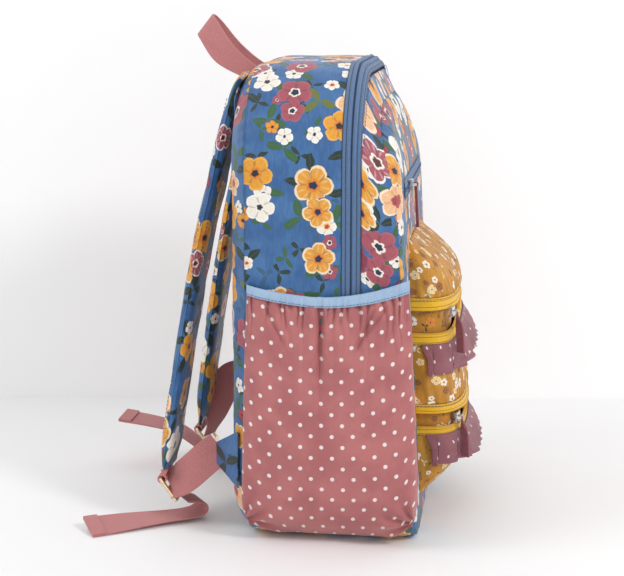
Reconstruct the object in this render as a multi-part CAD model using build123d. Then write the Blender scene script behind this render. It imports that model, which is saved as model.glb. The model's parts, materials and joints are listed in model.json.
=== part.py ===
"""School backpack: a zipped fabric shell with padded straps, three zipped openings and two side pockets.

Frame: millimetres, +Z up, origin at the centre of the base's resting face. The front, with its
pockets, faces -Y, the padded back and the shoulder straps face +Y, and the wearer's left is -X.
"""
from build123d import *
from math import asin, atan2, cos, degrees, hypot, radians, sin, sqrt
import os

# ---------------------------------------------------------------- driving sizes, mm and degrees
BODY_HALF_WIDTH = 140.0
BODY_HEIGHT = 414.0
LOW_CORNER_RADIUS = 30.0
TOP_CORNER_RADIUS = 85.0
FABRIC = 2.4                    # printed cloth and its lining, sewn together
BACK_FACE_Y = 78.0
BACK_SEAM_Y = 64.0
BACK_INSET = 14.0               # the back panel's face is this much smaller all round than its seam
TOP_BREAK_Y = -38.0             # in front of this the top slopes down to the front seam
FRONT_SEAM_Y = -84.0            # at the base
FRONT_LEAN = 3.4                # the front seam leans back by this angle
FRONT_SEAM_HEIGHT = BODY_HEIGHT - 12.0
FRONT_BULGE = 3.0
FRONT_INSET = 14.0
BASE_SEAM_Z = 30.0

FOAM = 9.0
FOAM_INSET = 24.0
LINING_INSET = 18.0
LINING = 1.2
SLEEVE_LOW_Z = 24.0
SLEEVE_DEPTH = 12.0
SLEEVE_FABRIC = 1.6

ZIP_Y = -27.5                   # centre line of the main zip
ZIP_HALF_WIDTH = 8.5
TAPE = 1.6
TAPE_SINK = 0.4                 # tape lies this far below the gusset's surface
CHAIN_HALF_WIDTH = 2.9
CHAIN_HEIGHT = 1.8
CHAIN_SPLIT = 0.6               # clear slit between the two halves of the main chain
FLAP_FOLD_Z = BODY_HEIGHT - 150.0   # the front panel folds forward along this line
FLAP_GAP = 0.8

SIDE_POCKET_DEPTH = 10.0        # how far a side pocket stands out from the gusset
SIDE_POCKET_TOP_Z = FLAP_FOLD_Z - 44.0
ZIP_END_Z = SIDE_POCKET_TOP_Z - 20.0    # both ends are tucked behind the side pockets
SLEEVE_HALF_WIDTH = BODY_HALF_WIDTH - 28.0
SLEEVE_TOP_Z = SIDE_POCKET_TOP_Z + 30.0
SIDE_POCKET_LOW_Z = 2.0
SIDE_POCKET_BACK_Y = BACK_SEAM_Y - 2.0
POCKET_FABRIC = 2.0
BINDING_HEIGHT = 9.0
BINDING_PROUD = 0.6

FRONT_ZIP_Z = FLAP_FOLD_Z + 46.0
FRONT_ZIP_HALF_LENGTH = BODY_HALF_WIDTH - 40.0
FRONT_SLIDER_X = 38.0 - FRONT_ZIP_HALF_LENGTH
SMALL_TAPE_HALF_WIDTH = 7.0
SMALL_TAPE = 1.2

FRONT_POCKET_HALF_WIDTH = 85.0
FRONT_POCKET_ARC = 296.0        # radius of the bowed front, seen from above
FRONT_POCKET_CORNER = 12.0
UPPER_ZIP_Z = 0.75 * FLAP_FOLD_Z
LOWER_ZIP_Z = UPPER_ZIP_Z - 96.0
POCKET_TAPE_HALF_WIDTH = 15.0
UPPER_ZIP_FRONT_Y = -115.0
LOWER_ZIP_FRONT_Y = -121.0
POCKET_DIVIDER_Z = (UPPER_ZIP_Z + LOWER_ZIP_Z) / 2 - 4.0
POCKET_TOP_RISE = 62.0          # of the pocket's top edge above its upper zip
POCKET_SHOULDER_RISE = 52.0
POCKET_BROW_RISE = 36.0
POCKET_BELLY_DROP = 34.0        # of the fullest line below the lower zip
POCKET_HEM_DROP = 50.0
POCKET_FOOT_DROP = 64.0
POCKET_TOP_FRONT_Y = FRONT_SEAM_Y + 10.0
POCKET_SHOULDER_FRONT_Y = FRONT_SEAM_Y - 4.0
POCKET_FOOT_FRONT_Y = FRONT_SEAM_Y - 6.0
POCKET_BAND_MARGIN = 3.0        # the pocket stays upright this far past each tape
RUFFLE_DROP = 27.0
RUFFLE_FLARE = 5.0
RUFFLE_FABRIC = 1.4
POCKET_SLIDER_X = 19.0 - FRONT_POCKET_HALF_WIDTH

WEBBING = 1.6
WEBBING_WIDTH = 30.0
HAUL_WIDTH = 25.0
HAUL_HALF_GAP = 24.0
HAUL_REACH = 76.0
HAUL_LEAN = 38.0                # above the horizontal
HAUL_TOP_RADIUS = 9.0
HAUL_FOLD = (BACK_SEAM_Y + 7.0, BODY_HEIGHT - 7.0)  # y and z of the line that the loop folds on
HAUL_FOOT_RADIUS = 7.2
HAUL_SUNK = 12.0                # the strip starts this far below the fold, inside the seam

STRAP_WIDTH = 60.0
STRAP_THICKNESS = 13.0
STRAP_CLOTH = 1.6
STRAP_TOP_X = 0.4 * BODY_HALF_WIDTH
STRAP_SPLAY = 4.4
STRAP_CORNER = 5.5
STRAP_TOP_Z = BODY_HEIGHT - 17.0
STRAP_LOW_Z = 52.0
STRAP_RUN = [                   # distance behind the back face, and share of the strap's height
    (8.3, 1.0),
    (14.5, 0.884),
    (25.0, 0.736),
    (36.0, 0.5855),
    (45.0, 0.4348),
    (53.5, 0.284),
    (61.5, 0.1333),
    (66.5, 0.0),
]
STRAP_BENDS = [300.0, 600.0, 600.0, 600.0, 600.0, 500.0]
STRAP_HEM = 2.0                 # cloth folded in at each end of the cover
YOKE_HALF_WIDTH = STRAP_TOP_X + STRAP_WIDTH / 2 + 10.0
YOKE_LOW_Z = BODY_HEIGHT - 48.0
YOKE = 1.2

BUCKLE_SPAN = 26.0
BUCKLE_SIDE = 4.2
BUCKLE_BAR = 4.0
BUCKLE_PLATE = 2.6
BUCKLE_CORNER = 2.0
BUCKLE_DIP = 54.0               # the frame's short side falls forward by this angle
BUCKLE_PLAY = 1.0               # on each side of the webbing
BUCKLE_BEHIND = 4.0             # the hinge line, behind the strap's end
BUCKLE_BELOW = 10.0             # and below it

ANCHOR_BACK = 24.0              # how far the tab reaches behind the seam
ANCHOR_LOW_Z = 48.0
ANCHOR_HIGH_Z = 100.0
ANCHOR_TIP_LOW_Z = 62.0
ANCHOR_TIP_HIGH_Z = 82.0
ANCHOR_CLOTH = 3.2
WEBBING_LAP = 1.0               # from the tab's tip to the webbing's near end
WEBBING_SHORT = 3.0             # from the buckle's middle bar to its far end
ANCHOR_TIP_ASIDE = 3.3          # the tab's tip lies this far outside the webbing's face

TAIL_START = 1.0                # below the buckle's last bar
TAIL_GROUND = 0.1               # under the loose end that lies on the ground
LYING_TURN = 12.0               # outwards, seen from above
LYING_TAIL = [(0.0, 0.0), (-20.0, -0.2), (-13.0, -1.0), (68.0, -1.0)]  # back, share of the drop
LYING_BENDS = [6.0, 8.0]
RAISED_TURN = 4.0
RAISED_TAIL = [(0.8, 1.1), (-18.0, -3.5), (-3.0, -14.0), (42.0, 19.0), (99.0, 27.0)]
RAISED_BENDS = [5.0, 5.0, 50.0]

SLIDER_PLATE = 2.0
SLIDER_LENGTH = 10.0
SLIDER_HALF_ACROSS = 4.5
PIN_RADIUS = 0.9
PIN_REACH = 2.5                 # pin axis above the slider's plate
RIBBON_WIDTH = 9.0
RIBBON_LENGTH = 36.0
RIBBON = 1.6
LEATHER_WIDTH = 8.5
LEATHER_LENGTH = 36.0
LEATHER = 2.4
MAIN_PULL_WIDTH = 7.0
MAIN_PULL_LENGTH = 22.0
MAIN_PULL = 1.8
EAR = 1.0                       # thickness of a slider's ears
EAR_MARGIN = 0.3                # metal around the pin
PIN_LENGTH = 7.6
EYE_WIDTH = 6.0
MAIN_SLIDER_GAP = 37.0          # between the two sliders of the main zip
RIBBON_TILT = 7.0               # the ribbons rest on the ruffles, a little off the vertical

CLEAR = 0.3                     # between pieces that move on each other
SEAT = 0.3                      # between soft pieces that are sewn together
FAR = 900.0                     # larger than the whole bag

# ---------------------------------------------------------------- values worked out from them
FRONT_SEAM = Plane(
    origin=(0, FRONT_SEAM_Y, 0),
    x_dir=(1, 0, 0),
    z_dir=(0, -cos(radians(FRONT_LEAN)), sin(radians(FRONT_LEAN))),
)
FRONT_FACE = FRONT_SEAM.offset(FRONT_BULGE)
PIN_HEIGHT = CHAIN_HEIGHT + CLEAR + SLIDER_PLATE + PIN_REACH
TOP_CORNER_X = BODY_HALF_WIDTH - TOP_CORNER_RADIUS
TOP_CORNER_Z = BODY_HEIGHT - TOP_CORNER_RADIUS
MAIN_SLIDER_A_Z = TOP_CORNER_Z
MAIN_SLIDER_B_Z = TOP_CORNER_Z - MAIN_SLIDER_GAP
STRAP_LINE = [
    (0, BACK_FACE_Y + behind, STRAP_LOW_Z + share * (STRAP_TOP_Z - STRAP_LOW_Z))
    for behind, share in STRAP_RUN
]
BUCKLE_X = -STRAP_TOP_X - sin(radians(STRAP_SPLAY)) * (STRAP_TOP_Z - STRAP_LOW_Z)
BUCKLE_HINGE = (STRAP_LINE[-1][1] + BUCKLE_BEHIND, STRAP_LOW_Z - BUCKLE_BELOW)
BUCKLE_HALF_WIDTH = WEBBING_WIDTH / 2 + BUCKLE_PLAY + BUCKLE_SIDE
WEBBING_X = BUCKLE_X - BUCKLE_HALF_WIDTH - CLEAR


def write(shape, name):
    """Write one named sub-part."""
    export_step(shape, f"parts/{name}.step")


def region(x=(-FAR, FAR), y=(-FAR, FAR), z=(-FAR, FAR)):
    """A box between the given limits, used to cut panels along their seams."""
    middle = [(low + high) / 2 for low, high in (x, y, z)]
    size = [high - low for low, high in (x, y, z)]
    return Pos(*middle) * Box(*size)


def ahead_of(plane):
    """Everything in front of a leaning plane."""
    return plane * Pos(0, 0, FAR / 2) * Box(2 * FAR, 2 * FAR, FAR)


# ---------------------------------------------------------------- main compartment
def arch_face(plane, inset=0.0, high=BODY_HEIGHT):
    """The bag's front view outline, drawn in the given upright plane and made smaller by inset."""
    half = BODY_HALF_WIDTH - inset
    low_r = LOW_CORNER_RADIUS - inset
    top_r = TOP_CORNER_RADIUS - inset
    low = inset
    top = high - inset
    edges = [
        Line((-half + low_r, low), (half - low_r, low)),
        CenterArc((half - low_r, low + low_r), low_r, 270, 90),
        Line((half, low + low_r), (half, top - top_r)),
        CenterArc((half - top_r, top - top_r), top_r, 0, 90),
        Line((half - top_r, top), (-half + top_r, top)),
        CenterArc((-half + top_r, top - top_r), top_r, 90, 90),
        Line((-half, top - top_r), (-half, low + low_r)),
        CenterArc((-half + low_r, low + low_r), low_r, 180, 90),
    ]
    return plane * Face(Wire(edges))


def upright(y):
    """The plane across the bag at depth y, with +Z up and facing the front."""
    return Plane(origin=(0, y, 0), x_dir=(1, 0, 0), z_dir=(0, -1, 0))


def arch_prism(front_y, back_y, inset):
    """The outline drawn out from the front depth to the back depth."""
    return extrude(arch_face(upright(back_y), inset), back_y - front_y)


def body_solid(shrink=0.0):
    """The stuffed bag as one solid, or its inside when shrink is the cloth's thickness."""
    edge = shrink / 2
    sections = [
        arch_face(upright(BACK_FACE_Y - shrink), BACK_INSET + edge),
        arch_face(upright(BACK_SEAM_Y - edge), shrink),
        arch_face(upright(TOP_BREAK_Y + edge / 4), shrink),
        arch_face(FRONT_SEAM.offset(-edge), shrink, FRONT_SEAM_HEIGHT),
        arch_face(FRONT_SEAM.offset(FRONT_BULGE - shrink), FRONT_INSET + edge, FRONT_SEAM_HEIGHT),
    ]
    return loft(sections, ruled=True)


def body_panels():
    """The cloth shell, cut along its seams, its zip slot and the fold of the front flap."""
    shell = body_solid() - body_solid(FABRIC)
    front = shell & ahead_of(FRONT_SEAM)
    rest = shell - ahead_of(FRONT_SEAM)
    slot = region(y=(ZIP_Y - ZIP_HALF_WIDTH, ZIP_Y + ZIP_HALF_WIDTH), z=(ZIP_END_Z, FAR))
    back_y = BACK_SEAM_Y - 1.0
    band = rest & region(y=(-FAR, back_y), z=(BASE_SEAM_Z, FAR))
    split_y = ZIP_Y - ZIP_HALF_WIDTH
    below = region(z=(-FAR, FLAP_FOLD_Z - FLAP_GAP / 2))
    above = region(z=(FLAP_FOLD_Z + FLAP_GAP / 2, FAR))
    ahead = band & region(y=(-FAR, split_y))
    return {
        "back_panel": rest & region(y=(back_y, FAR)),
        "base_panel": rest & region(y=(-FAR, back_y), z=(-FAR, BASE_SEAM_Z)),
        "rear_gusset": (band & region(y=(split_y, FAR))) - slot,
        "lower_gusset_left": ahead & below & region(x=(-FAR, 0)),
        "lower_gusset_right": ahead & below & region(x=(0, FAR)),
        "lower_front_panel": front & below,
        "flap_gusset": ahead & above,
        "flap_panel": front & above,
    }


def padding():
    """Foam behind the back panel, its lining, and the flat sleeve sewn inside."""
    foam_y = BACK_FACE_Y - FABRIC - SEAT
    foam = arch_prism(foam_y - FOAM, foam_y, FOAM_INSET)
    lining_y = foam_y - FOAM - SEAT
    lining = arch_prism(lining_y - LINING, lining_y, LINING_INSET)
    sleeve_y = lining_y - LINING
    across = (-SLEEVE_HALF_WIDTH, SLEEVE_HALF_WIDTH)
    outside = region(across, (sleeve_y - SLEEVE_DEPTH, sleeve_y), (SLEEVE_LOW_Z, SLEEVE_TOP_Z))
    inner = SLEEVE_HALF_WIDTH - SLEEVE_FABRIC
    hollow = region(
        (-inner, inner),
        (sleeve_y - SLEEVE_DEPTH + SLEEVE_FABRIC, FAR),
        (SLEEVE_LOW_Z + SLEEVE_FABRIC, FAR),
    )
    return {"back_foam": foam, "back_lining": lining, "inner_sleeve": outside - hollow}


def main_zip():
    """Tape and chain round the arch, each in a rear half, a lower front half and a flap half."""
    tape = arch_prism(ZIP_Y - ZIP_HALF_WIDTH, ZIP_Y + ZIP_HALF_WIDTH, TAPE_SINK)
    tape -= arch_prism(-FAR / 2, FAR / 2, TAPE_SINK + TAPE)
    chain = arch_prism(ZIP_Y - CHAIN_HALF_WIDTH, ZIP_Y + CHAIN_HALF_WIDTH, TAPE_SINK - CHAIN_HEIGHT)
    chain -= arch_prism(-FAR / 2, FAR / 2, TAPE_SINK)
    rear = region(y=(ZIP_Y + CHAIN_SPLIT / 2, FAR), z=(ZIP_END_Z, FAR))
    front_y = (-FAR, ZIP_Y - CHAIN_SPLIT / 2)
    lower = region(y=front_y, z=(ZIP_END_Z, FLAP_FOLD_Z - FLAP_GAP / 2))
    flap = region(y=front_y, z=(FLAP_FOLD_Z + FLAP_GAP / 2, FAR))
    return {
        "main_zip_tape_rear": tape & rear,
        "main_zip_tape_lower": tape & lower,
        "main_zip_tape_flap": tape & flap,
        "main_zip_chain_rear": chain & rear,
        "main_zip_chain_lower": chain & lower,
        "main_zip_chain_flap": chain & flap,
    }


# ---------------------------------------------------------------- side pockets
def side_pocket():
    """The left side pocket and the binding on its mouth, open at the top."""
    front = FRONT_SEAM.offset(-1.0)
    outer = arch_prism(-FAR / 2, SIDE_POCKET_BACK_Y, -SIDE_POCKET_DEPTH)
    hollow = arch_prism(
        -FAR / 2, SIDE_POCKET_BACK_Y - POCKET_FABRIC, POCKET_FABRIC - SIDE_POCKET_DEPTH
    )
    hollow -= ahead_of(front.offset(-POCKET_FABRIC))
    hollow &= region(z=(SIDE_POCKET_LOW_Z + POCKET_FABRIC, FAR))
    left = region(x=(-FAR, -LOW_CORNER_RADIUS), z=(SIDE_POCKET_LOW_Z, SIDE_POCKET_TOP_Z))
    pocket = (outer - ahead_of(front) - hollow - arch_prism(-FAR / 2, FAR / 2, -SEAT)) & left
    rim = arch_prism(-FAR / 2, SIDE_POCKET_BACK_Y, -SIDE_POCKET_DEPTH - BINDING_PROUD)
    rim -= arch_prism(-FAR / 2, FAR / 2, POCKET_FABRIC + BINDING_PROUD - SIDE_POCKET_DEPTH)
    rim -= ahead_of(front)
    rim_z = (SIDE_POCKET_TOP_Z, SIDE_POCKET_TOP_Z + BINDING_HEIGHT)
    binding = rim & region(x=(-FAR, -LOW_CORNER_RADIUS), z=rim_z)
    return {"side_pocket": pocket, "side_binding": binding}


# ---------------------------------------------------------------- front pocket
def pocket_level(z, front_y, grow=0.0, half_width=FRONT_POCKET_HALF_WIDTH):
    """The front pocket's outline seen from above, at height z, with its front at front_y."""
    half = half_width + grow
    radius = FRONT_POCKET_ARC + grow
    centre_y = front_y + FRONT_POCKET_ARC
    side_y = centre_y - sqrt(radius**2 - half**2)
    back_y = FRONT_SEAM_Y + 50.0
    edges = [
        Line((-half, back_y), (-half, side_y)),
        ThreePointArc((-half, side_y), (0, centre_y - radius), (half, side_y)),
        Line((half, side_y), (half, back_y)),
        Line((half, back_y), (-half, back_y)),
    ]
    sharp = Face(Wire(edges))
    corners = [v for v in sharp.vertices() if abs(v.Y - side_y) < 0.01]
    return Pos(0, 0, z) * sharp.fillet_2d(FRONT_POCKET_CORNER + grow, corners)


def pocket_solid(grow=0.0):
    """The filled-out front pocket, larger or smaller all round by grow."""
    band = POCKET_TAPE_HALF_WIDTH + POCKET_BAND_MARGIN
    foot_z = LOWER_ZIP_Z - POCKET_FOOT_DROP - grow
    levels = [
        (UPPER_ZIP_Z + POCKET_TOP_RISE + grow, POCKET_TOP_FRONT_Y, -8.0),
        (UPPER_ZIP_Z + POCKET_SHOULDER_RISE + grow, POCKET_SHOULDER_FRONT_Y, -5.0),
        (UPPER_ZIP_Z + POCKET_BROW_RISE, UPPER_ZIP_FRONT_Y + 10.0, -1.0),
        (UPPER_ZIP_Z + band, UPPER_ZIP_FRONT_Y, 0.0),
        (UPPER_ZIP_Z - band, UPPER_ZIP_FRONT_Y, 0.0),
        (LOWER_ZIP_Z + band, LOWER_ZIP_FRONT_Y, 0.0),
        (LOWER_ZIP_Z - band, LOWER_ZIP_FRONT_Y, 0.0),
        (LOWER_ZIP_Z - POCKET_BELLY_DROP, LOWER_ZIP_FRONT_Y + 1.0, 0.0),
        (LOWER_ZIP_Z - POCKET_HEM_DROP, LOWER_ZIP_FRONT_Y + 10.0, -2.0),
        (foot_z, POCKET_FOOT_FRONT_Y, -6.0),
    ]
    sections = [
        pocket_level(z, y, grow, FRONT_POCKET_HALF_WIDTH + narrow) for z, y, narrow in levels
    ]
    return loft(sections, ruled=True)


def front_pocket():
    """The pocket's cloth and zip tapes as bands, its divider, chains and ruffles."""
    in_front = ahead_of(FRONT_FACE.offset(SEAT))
    outer = pocket_solid() & in_front
    shell = outer - pocket_solid(-POCKET_FABRIC)
    upper = (UPPER_ZIP_Z - POCKET_TAPE_HALF_WIDTH, UPPER_ZIP_Z + POCKET_TAPE_HALF_WIDTH)
    lower = (LOWER_ZIP_Z - POCKET_TAPE_HALF_WIDTH, LOWER_ZIP_Z + POCKET_TAPE_HALF_WIDTH)
    divider_z = (POCKET_DIVIDER_Z, POCKET_DIVIDER_Z + SMALL_TAPE)
    parts = {
        "pocket_top_panel": shell & region(z=(upper[1], FAR)),
        "pocket_upper_tape": shell & region(z=upper),
        "pocket_middle_panel": shell & region(z=(lower[1], upper[0])),
        "pocket_lower_tape": shell & region(z=lower),
        "pocket_base_panel": shell & region(z=(-FAR, lower[0])),
        "pocket_divider": pocket_solid(-POCKET_FABRIC - SEAT) & in_front & region(z=divider_z),
    }
    for name, middle, front_y in (
        ("upper", UPPER_ZIP_Z, UPPER_ZIP_FRONT_Y),
        ("lower", LOWER_ZIP_Z, LOWER_ZIP_FRONT_Y),
    ):
        low = middle - CHAIN_HALF_WIDTH
        ring = pocket_level(low, front_y, CHAIN_HEIGHT) - pocket_level(low, front_y)
        parts[f"pocket_{name}_chain"] = extrude(ring, 2 * CHAIN_HALF_WIDTH) & in_front
        parts[f"ruffle_{name}"] = ruffle(middle - POCKET_TAPE_HALF_WIDTH, front_y) & in_front
    return parts


def ruffle(top_z, front_y):
    """A flared skirt that hangs from the lower edge of a pocket's zip tape."""
    low_z = top_z - RUFFLE_DROP
    outside = [
        pocket_level(top_z, front_y, SEAT + RUFFLE_FABRIC),
        pocket_level(low_z, front_y, SEAT + RUFFLE_FABRIC + RUFFLE_FLARE),
    ]
    inside = [
        pocket_level(top_z, front_y, SEAT),
        pocket_level(low_z, front_y, SEAT + RUFFLE_FLARE),
    ]
    return loft(outside, ruled=True) - loft(inside, ruled=True)


def front_zip():
    """The small zip across the flap."""
    across = (-FRONT_ZIP_HALF_LENGTH, FRONT_ZIP_HALF_LENGTH)
    up = FRONT_ZIP_Z / cos(radians(FRONT_LEAN))
    tape = region(across, (up - SMALL_TAPE_HALF_WIDTH, up + SMALL_TAPE_HALF_WIDTH), (0, SMALL_TAPE))
    over = (SMALL_TAPE, SMALL_TAPE + CHAIN_HEIGHT)
    chain = region(across, (up - CHAIN_HALF_WIDTH, up + CHAIN_HALF_WIDTH), over)
    return {"front_zip_tape": FRONT_FACE * tape, "front_zip_chain": FRONT_FACE * chain}


# ---------------------------------------------------------------- sliders and pulls
def slider_body(chain_along_pin, both_flanges=True):
    """A slider on its tape: local x is its pin, y points up the bag, z away from the cloth."""
    along, across = SLIDER_LENGTH, 2 * SLIDER_HALF_ACROSS
    size = (along, across) if chain_along_pin else (across, along)
    base = CHAIN_HEIGHT + CLEAR
    plate = Pos(0, 0, base + SLIDER_PLATE / 2) * Box(*size, SLIDER_PLATE)
    wall = SLIDER_HALF_ACROSS - CHAIN_HALF_WIDTH - CLEAR
    offset = SLIDER_HALF_ACROSS - wall / 2
    height = base - CLEAR
    for side in (1, -1) if both_flanges else (1,):
        if chain_along_pin:
            plate += Pos(0, side * offset, CLEAR + height / 2) * Box(along, wall, height)
        else:
            plate += Pos(side * offset, 0, CLEAR + height / 2) * Box(wall, along, height)
    ear_height = PIN_REACH + PIN_RADIUS
    for side in (1, -1):
        ear = Box(EAR, 2 * (PIN_RADIUS + EAR_MARGIN), ear_height)
        plate += Pos(side * PIN_LENGTH / 2, 0, base + SLIDER_PLATE + ear_height / 2) * ear
    return plate + Pos(0, 0, PIN_HEIGHT) * Rot(0, 90, 0) * Cylinder(PIN_RADIUS, PIN_LENGTH)


def pull_tab(width, length, thickness, tilt=0.0):
    """A pull whose eye turns on the slider's pin, hanging down local -y."""
    eye_outer = PIN_REACH - CLEAR
    eye = Cylinder(eye_outer, EYE_WIDTH) - Cylinder(PIN_RADIUS + CLEAR, EYE_WIDTH)
    eye = Rot(0, 90, 0) * eye
    start = (eye_outer + PIN_RADIUS + CLEAR) / 2
    blade = Pos(0, -start - length / 2, 0) * Box(width, length, thickness)
    return Pos(0, 0, PIN_HEIGHT) * Rot(-tilt, 0, 0) * (eye + blade)


def arc_spot(front_y, middle):
    """Plane on the bowed pocket front at the slider's x, with z pointing away from the cloth."""
    centre_y = front_y + FRONT_POCKET_ARC
    turn = asin(POCKET_SLIDER_X / FRONT_POCKET_ARC)
    out = (sin(turn), -cos(turn), 0)
    origin = (FRONT_POCKET_ARC * out[0], centre_y + FRONT_POCKET_ARC * out[1], middle)
    return Plane(origin=origin, x_dir=(-out[1], out[0], 0), z_dir=out)


def sliders():
    """Every slider with its pull, in place."""
    parts = {}
    for name, front_y, middle in (
        ("upper", UPPER_ZIP_FRONT_Y, UPPER_ZIP_Z),
        ("lower", LOWER_ZIP_FRONT_Y, LOWER_ZIP_Z),
    ):
        spot = arc_spot(front_y, middle)
        parts[f"pocket_{name}_slider"] = spot * slider_body(True)
        parts[f"pocket_{name}_pull"] = spot * pull_tab(
            RIBBON_WIDTH, RIBBON_LENGTH, RIBBON, RIBBON_TILT
        )
    up = FRONT_ZIP_Z / cos(radians(FRONT_LEAN))
    spot = FRONT_FACE * Pos(FRONT_SLIDER_X, up, SMALL_TAPE)
    parts["front_slider"] = spot * slider_body(True)
    parts["front_pull"] = spot * pull_tab(LEATHER_WIDTH, LEATHER_LENGTH, LEATHER)
    for name, z in (("a", MAIN_SLIDER_A_Z), ("b", MAIN_SLIDER_B_Z)):
        origin = (BODY_HALF_WIDTH - TAPE_SINK, ZIP_Y, z)
        spot = Plane(origin=origin, x_dir=(0, 1, 0), z_dir=(1, 0, 0))
        parts[f"main_slider_{name}"] = spot * slider_body(False, both_flanges=False)
        parts[f"main_pull_{name}"] = spot * pull_tab(MAIN_PULL_WIDTH, MAIN_PULL_LENGTH, MAIN_PULL)
    return parts


# ---------------------------------------------------------------- straps, webbing and haul loop
def ribbon_along(points, radii, section, width_dir=(1, 0, 0)):
    """A flat strip swept along straight runs joined by arcs."""
    path = FilletPolyline(*points, radius=radii) if radii else Line(*points)
    start = Plane(origin=path @ 0, x_dir=width_dir, z_dir=path % 0)
    return sweep(start * section, path=path)


def strap_section(shrink):
    """The padded strap's section, less shrink all round."""
    size = (STRAP_WIDTH - 2 * shrink, STRAP_THICKNESS - 2 * shrink)
    return RectangleRounded(*size, STRAP_CORNER - shrink)


def strap():
    """The left strap's cover and its foam, splayed outwards from the top."""
    outer = ribbon_along(STRAP_LINE, STRAP_BENDS, strap_section(0.0))
    first, last = STRAP_LINE[0], STRAP_LINE[-1]
    hem = STRAP_CLOTH + STRAP_HEM
    inside = region(z=(last[2] + hem, first[2] - hem))
    hollow = ribbon_along(STRAP_LINE, STRAP_BENDS, strap_section(STRAP_CLOTH)) & inside
    foam_room = region(z=(last[2] + hem + SEAT, first[2] - hem - SEAT))
    foam = ribbon_along(STRAP_LINE, STRAP_BENDS, strap_section(STRAP_CLOTH + SEAT)) & foam_room
    place = Pos(-STRAP_TOP_X, 0, first[2]) * Rot(0, STRAP_SPLAY, 0) * Pos(0, 0, -first[2])
    return {"strap_cover": place * (outer - hollow), "strap_foam": place * foam}


def buckle_plane():
    """Plane of the buckle: x across the bag, y along its short side and down, z off its face."""
    down = (0, -cos(radians(BUCKLE_DIP)), -sin(radians(BUCKLE_DIP)))
    normal = (0, -down[2], down[1])
    return Plane(origin=(BUCKLE_X, *BUCKLE_HINGE), x_dir=(1, 0, 0), z_dir=normal)


def buckle():
    """A metal slide with three bars, its first bar on the hinge line at local y 0."""
    slot = (BUCKLE_SPAN - 3 * BUCKLE_BAR) / 2
    opening = WEBBING_WIDTH + 2 * BUCKLE_PLAY
    width = 2 * BUCKLE_HALF_WIDTH
    middle_y = BUCKLE_SPAN / 2 - BUCKLE_BAR / 2
    frame = Pos(0, middle_y, 0) * Box(width, BUCKLE_SPAN, BUCKLE_PLATE)
    for step in (0.5, 1.5):
        slot_y = BUCKLE_BAR * step + slot * step
        frame -= Pos(0, slot_y, 0) * Box(opening, slot, 2 * BUCKLE_PLATE)
    for end in (0, -1):
        frame = fillet(frame.edges().filter_by(Axis.Z).group_by(Axis.X)[end], BUCKLE_CORNER)
    return buckle_plane() * frame


def strap_end():
    """The webbing eye that holds the buckle's first bar under the strap."""
    eye_inner = hypot(BUCKLE_BAR, BUCKLE_PLATE) / 2 + CLEAR
    eye_outer = eye_inner + WEBBING
    y, z = BUCKLE_HINGE
    lift = STRAP_LINE[-1][2] - SEAT - z
    shift = STRAP_LINE[-1][1] - y
    ring = Cylinder(eye_outer, WEBBING_WIDTH)
    lean = degrees(atan2(-shift, lift))
    length = hypot(lift, shift) + 1.0
    stem = Rot(lean, 0, 0) * region(
        (-WEBBING_WIDTH / 2, WEBBING_WIDTH / 2), (-WEBBING, WEBBING), (0, length)
    )
    stem &= region(z=(-FAR, lift))
    eye = Rot(0, 90, 0) * ring + stem - Rot(0, 90, 0) * Cylinder(eye_inner, 2 * WEBBING_WIDTH)
    return Pos(BUCKLE_X, y, z) * eye


def anchor():
    """The folded triangle of cloth in the lower back seam."""
    base_x = -BODY_HALF_WIDTH + BACK_INSET / 2
    base_y = (BACK_SEAM_Y + BACK_FACE_Y) / 2
    aside = WEBBING_X - ANCHOR_TIP_ASIDE - base_x
    reach = hypot(aside, ANCHOR_BACK)
    along = (aside / reach, ANCHOR_BACK / reach, 0)
    plane = Plane(origin=(base_x, base_y, 0), x_dir=along, z_dir=(along[1], -along[0], 0))
    corners = [
        (0, ANCHOR_LOW_Z),
        (0, ANCHOR_HIGH_Z),
        (reach, ANCHOR_TIP_HIGH_Z),
        (reach, ANCHOR_TIP_LOW_Z),
    ]
    tab = plane * extrude(make_face(Polyline(*corners, close=True)), ANCHOR_CLOTH / 2, both=True)
    return tab - body_solid(-SEAT)


def lower_webbing():
    """The strip of webbing that runs from the anchor's tip to the buckle."""
    tip_y = (BACK_SEAM_Y + BACK_FACE_Y) / 2 + ANCHOR_BACK
    tip_z = (ANCHOR_TIP_LOW_Z + ANCHOR_TIP_HIGH_Z) / 2
    end_y = BUCKLE_HINGE[0] - cos(radians(BUCKLE_DIP)) * BUCKLE_SPAN / 2
    end_z = BUCKLE_HINGE[1] - sin(radians(BUCKLE_DIP)) * BUCKLE_SPAN / 2
    run = Vector(end_y - tip_y, end_z - tip_z)
    along = run.normalized()
    side = Vector(-along.Y, along.X) * (WEBBING_WIDTH / 2)
    first = Vector(tip_y, tip_z) + along * WEBBING_LAP
    last = Vector(end_y, end_z) - along * WEBBING_SHORT
    corners = [first + side, last + side, last - side, first - side]
    face = make_face(Polyline(*[(c.X, c.Y) for c in corners], close=True))
    plane = Plane(origin=(WEBBING_X, 0, 0), x_dir=(0, 1, 0), z_dir=(1, 0, 0))
    return plane * extrude(face, -WEBBING)


def tail(run, bends, turn):
    """A loose end of webbing: forward out of the buckle, round, and back along the given run."""
    y = BUCKLE_HINGE[0] - cos(radians(BUCKLE_DIP)) * (BUCKLE_SPAN + TAIL_START)
    z = BUCKLE_HINGE[1] - sin(radians(BUCKLE_DIP)) * (BUCKLE_SPAN + TAIL_START)
    path = FilletPolyline(*run, radius=bends)
    plane = Plane(origin=(0, 0, 0), x_dir=(0, 1, 0), z_dir=(1, 0, 0))
    strip = plane * extrude(trace(path, WEBBING), WEBBING_WIDTH / 2, both=True)
    return Pos(BUCKLE_X, y, z) * Rot(0, 0, turn) * strip


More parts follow.
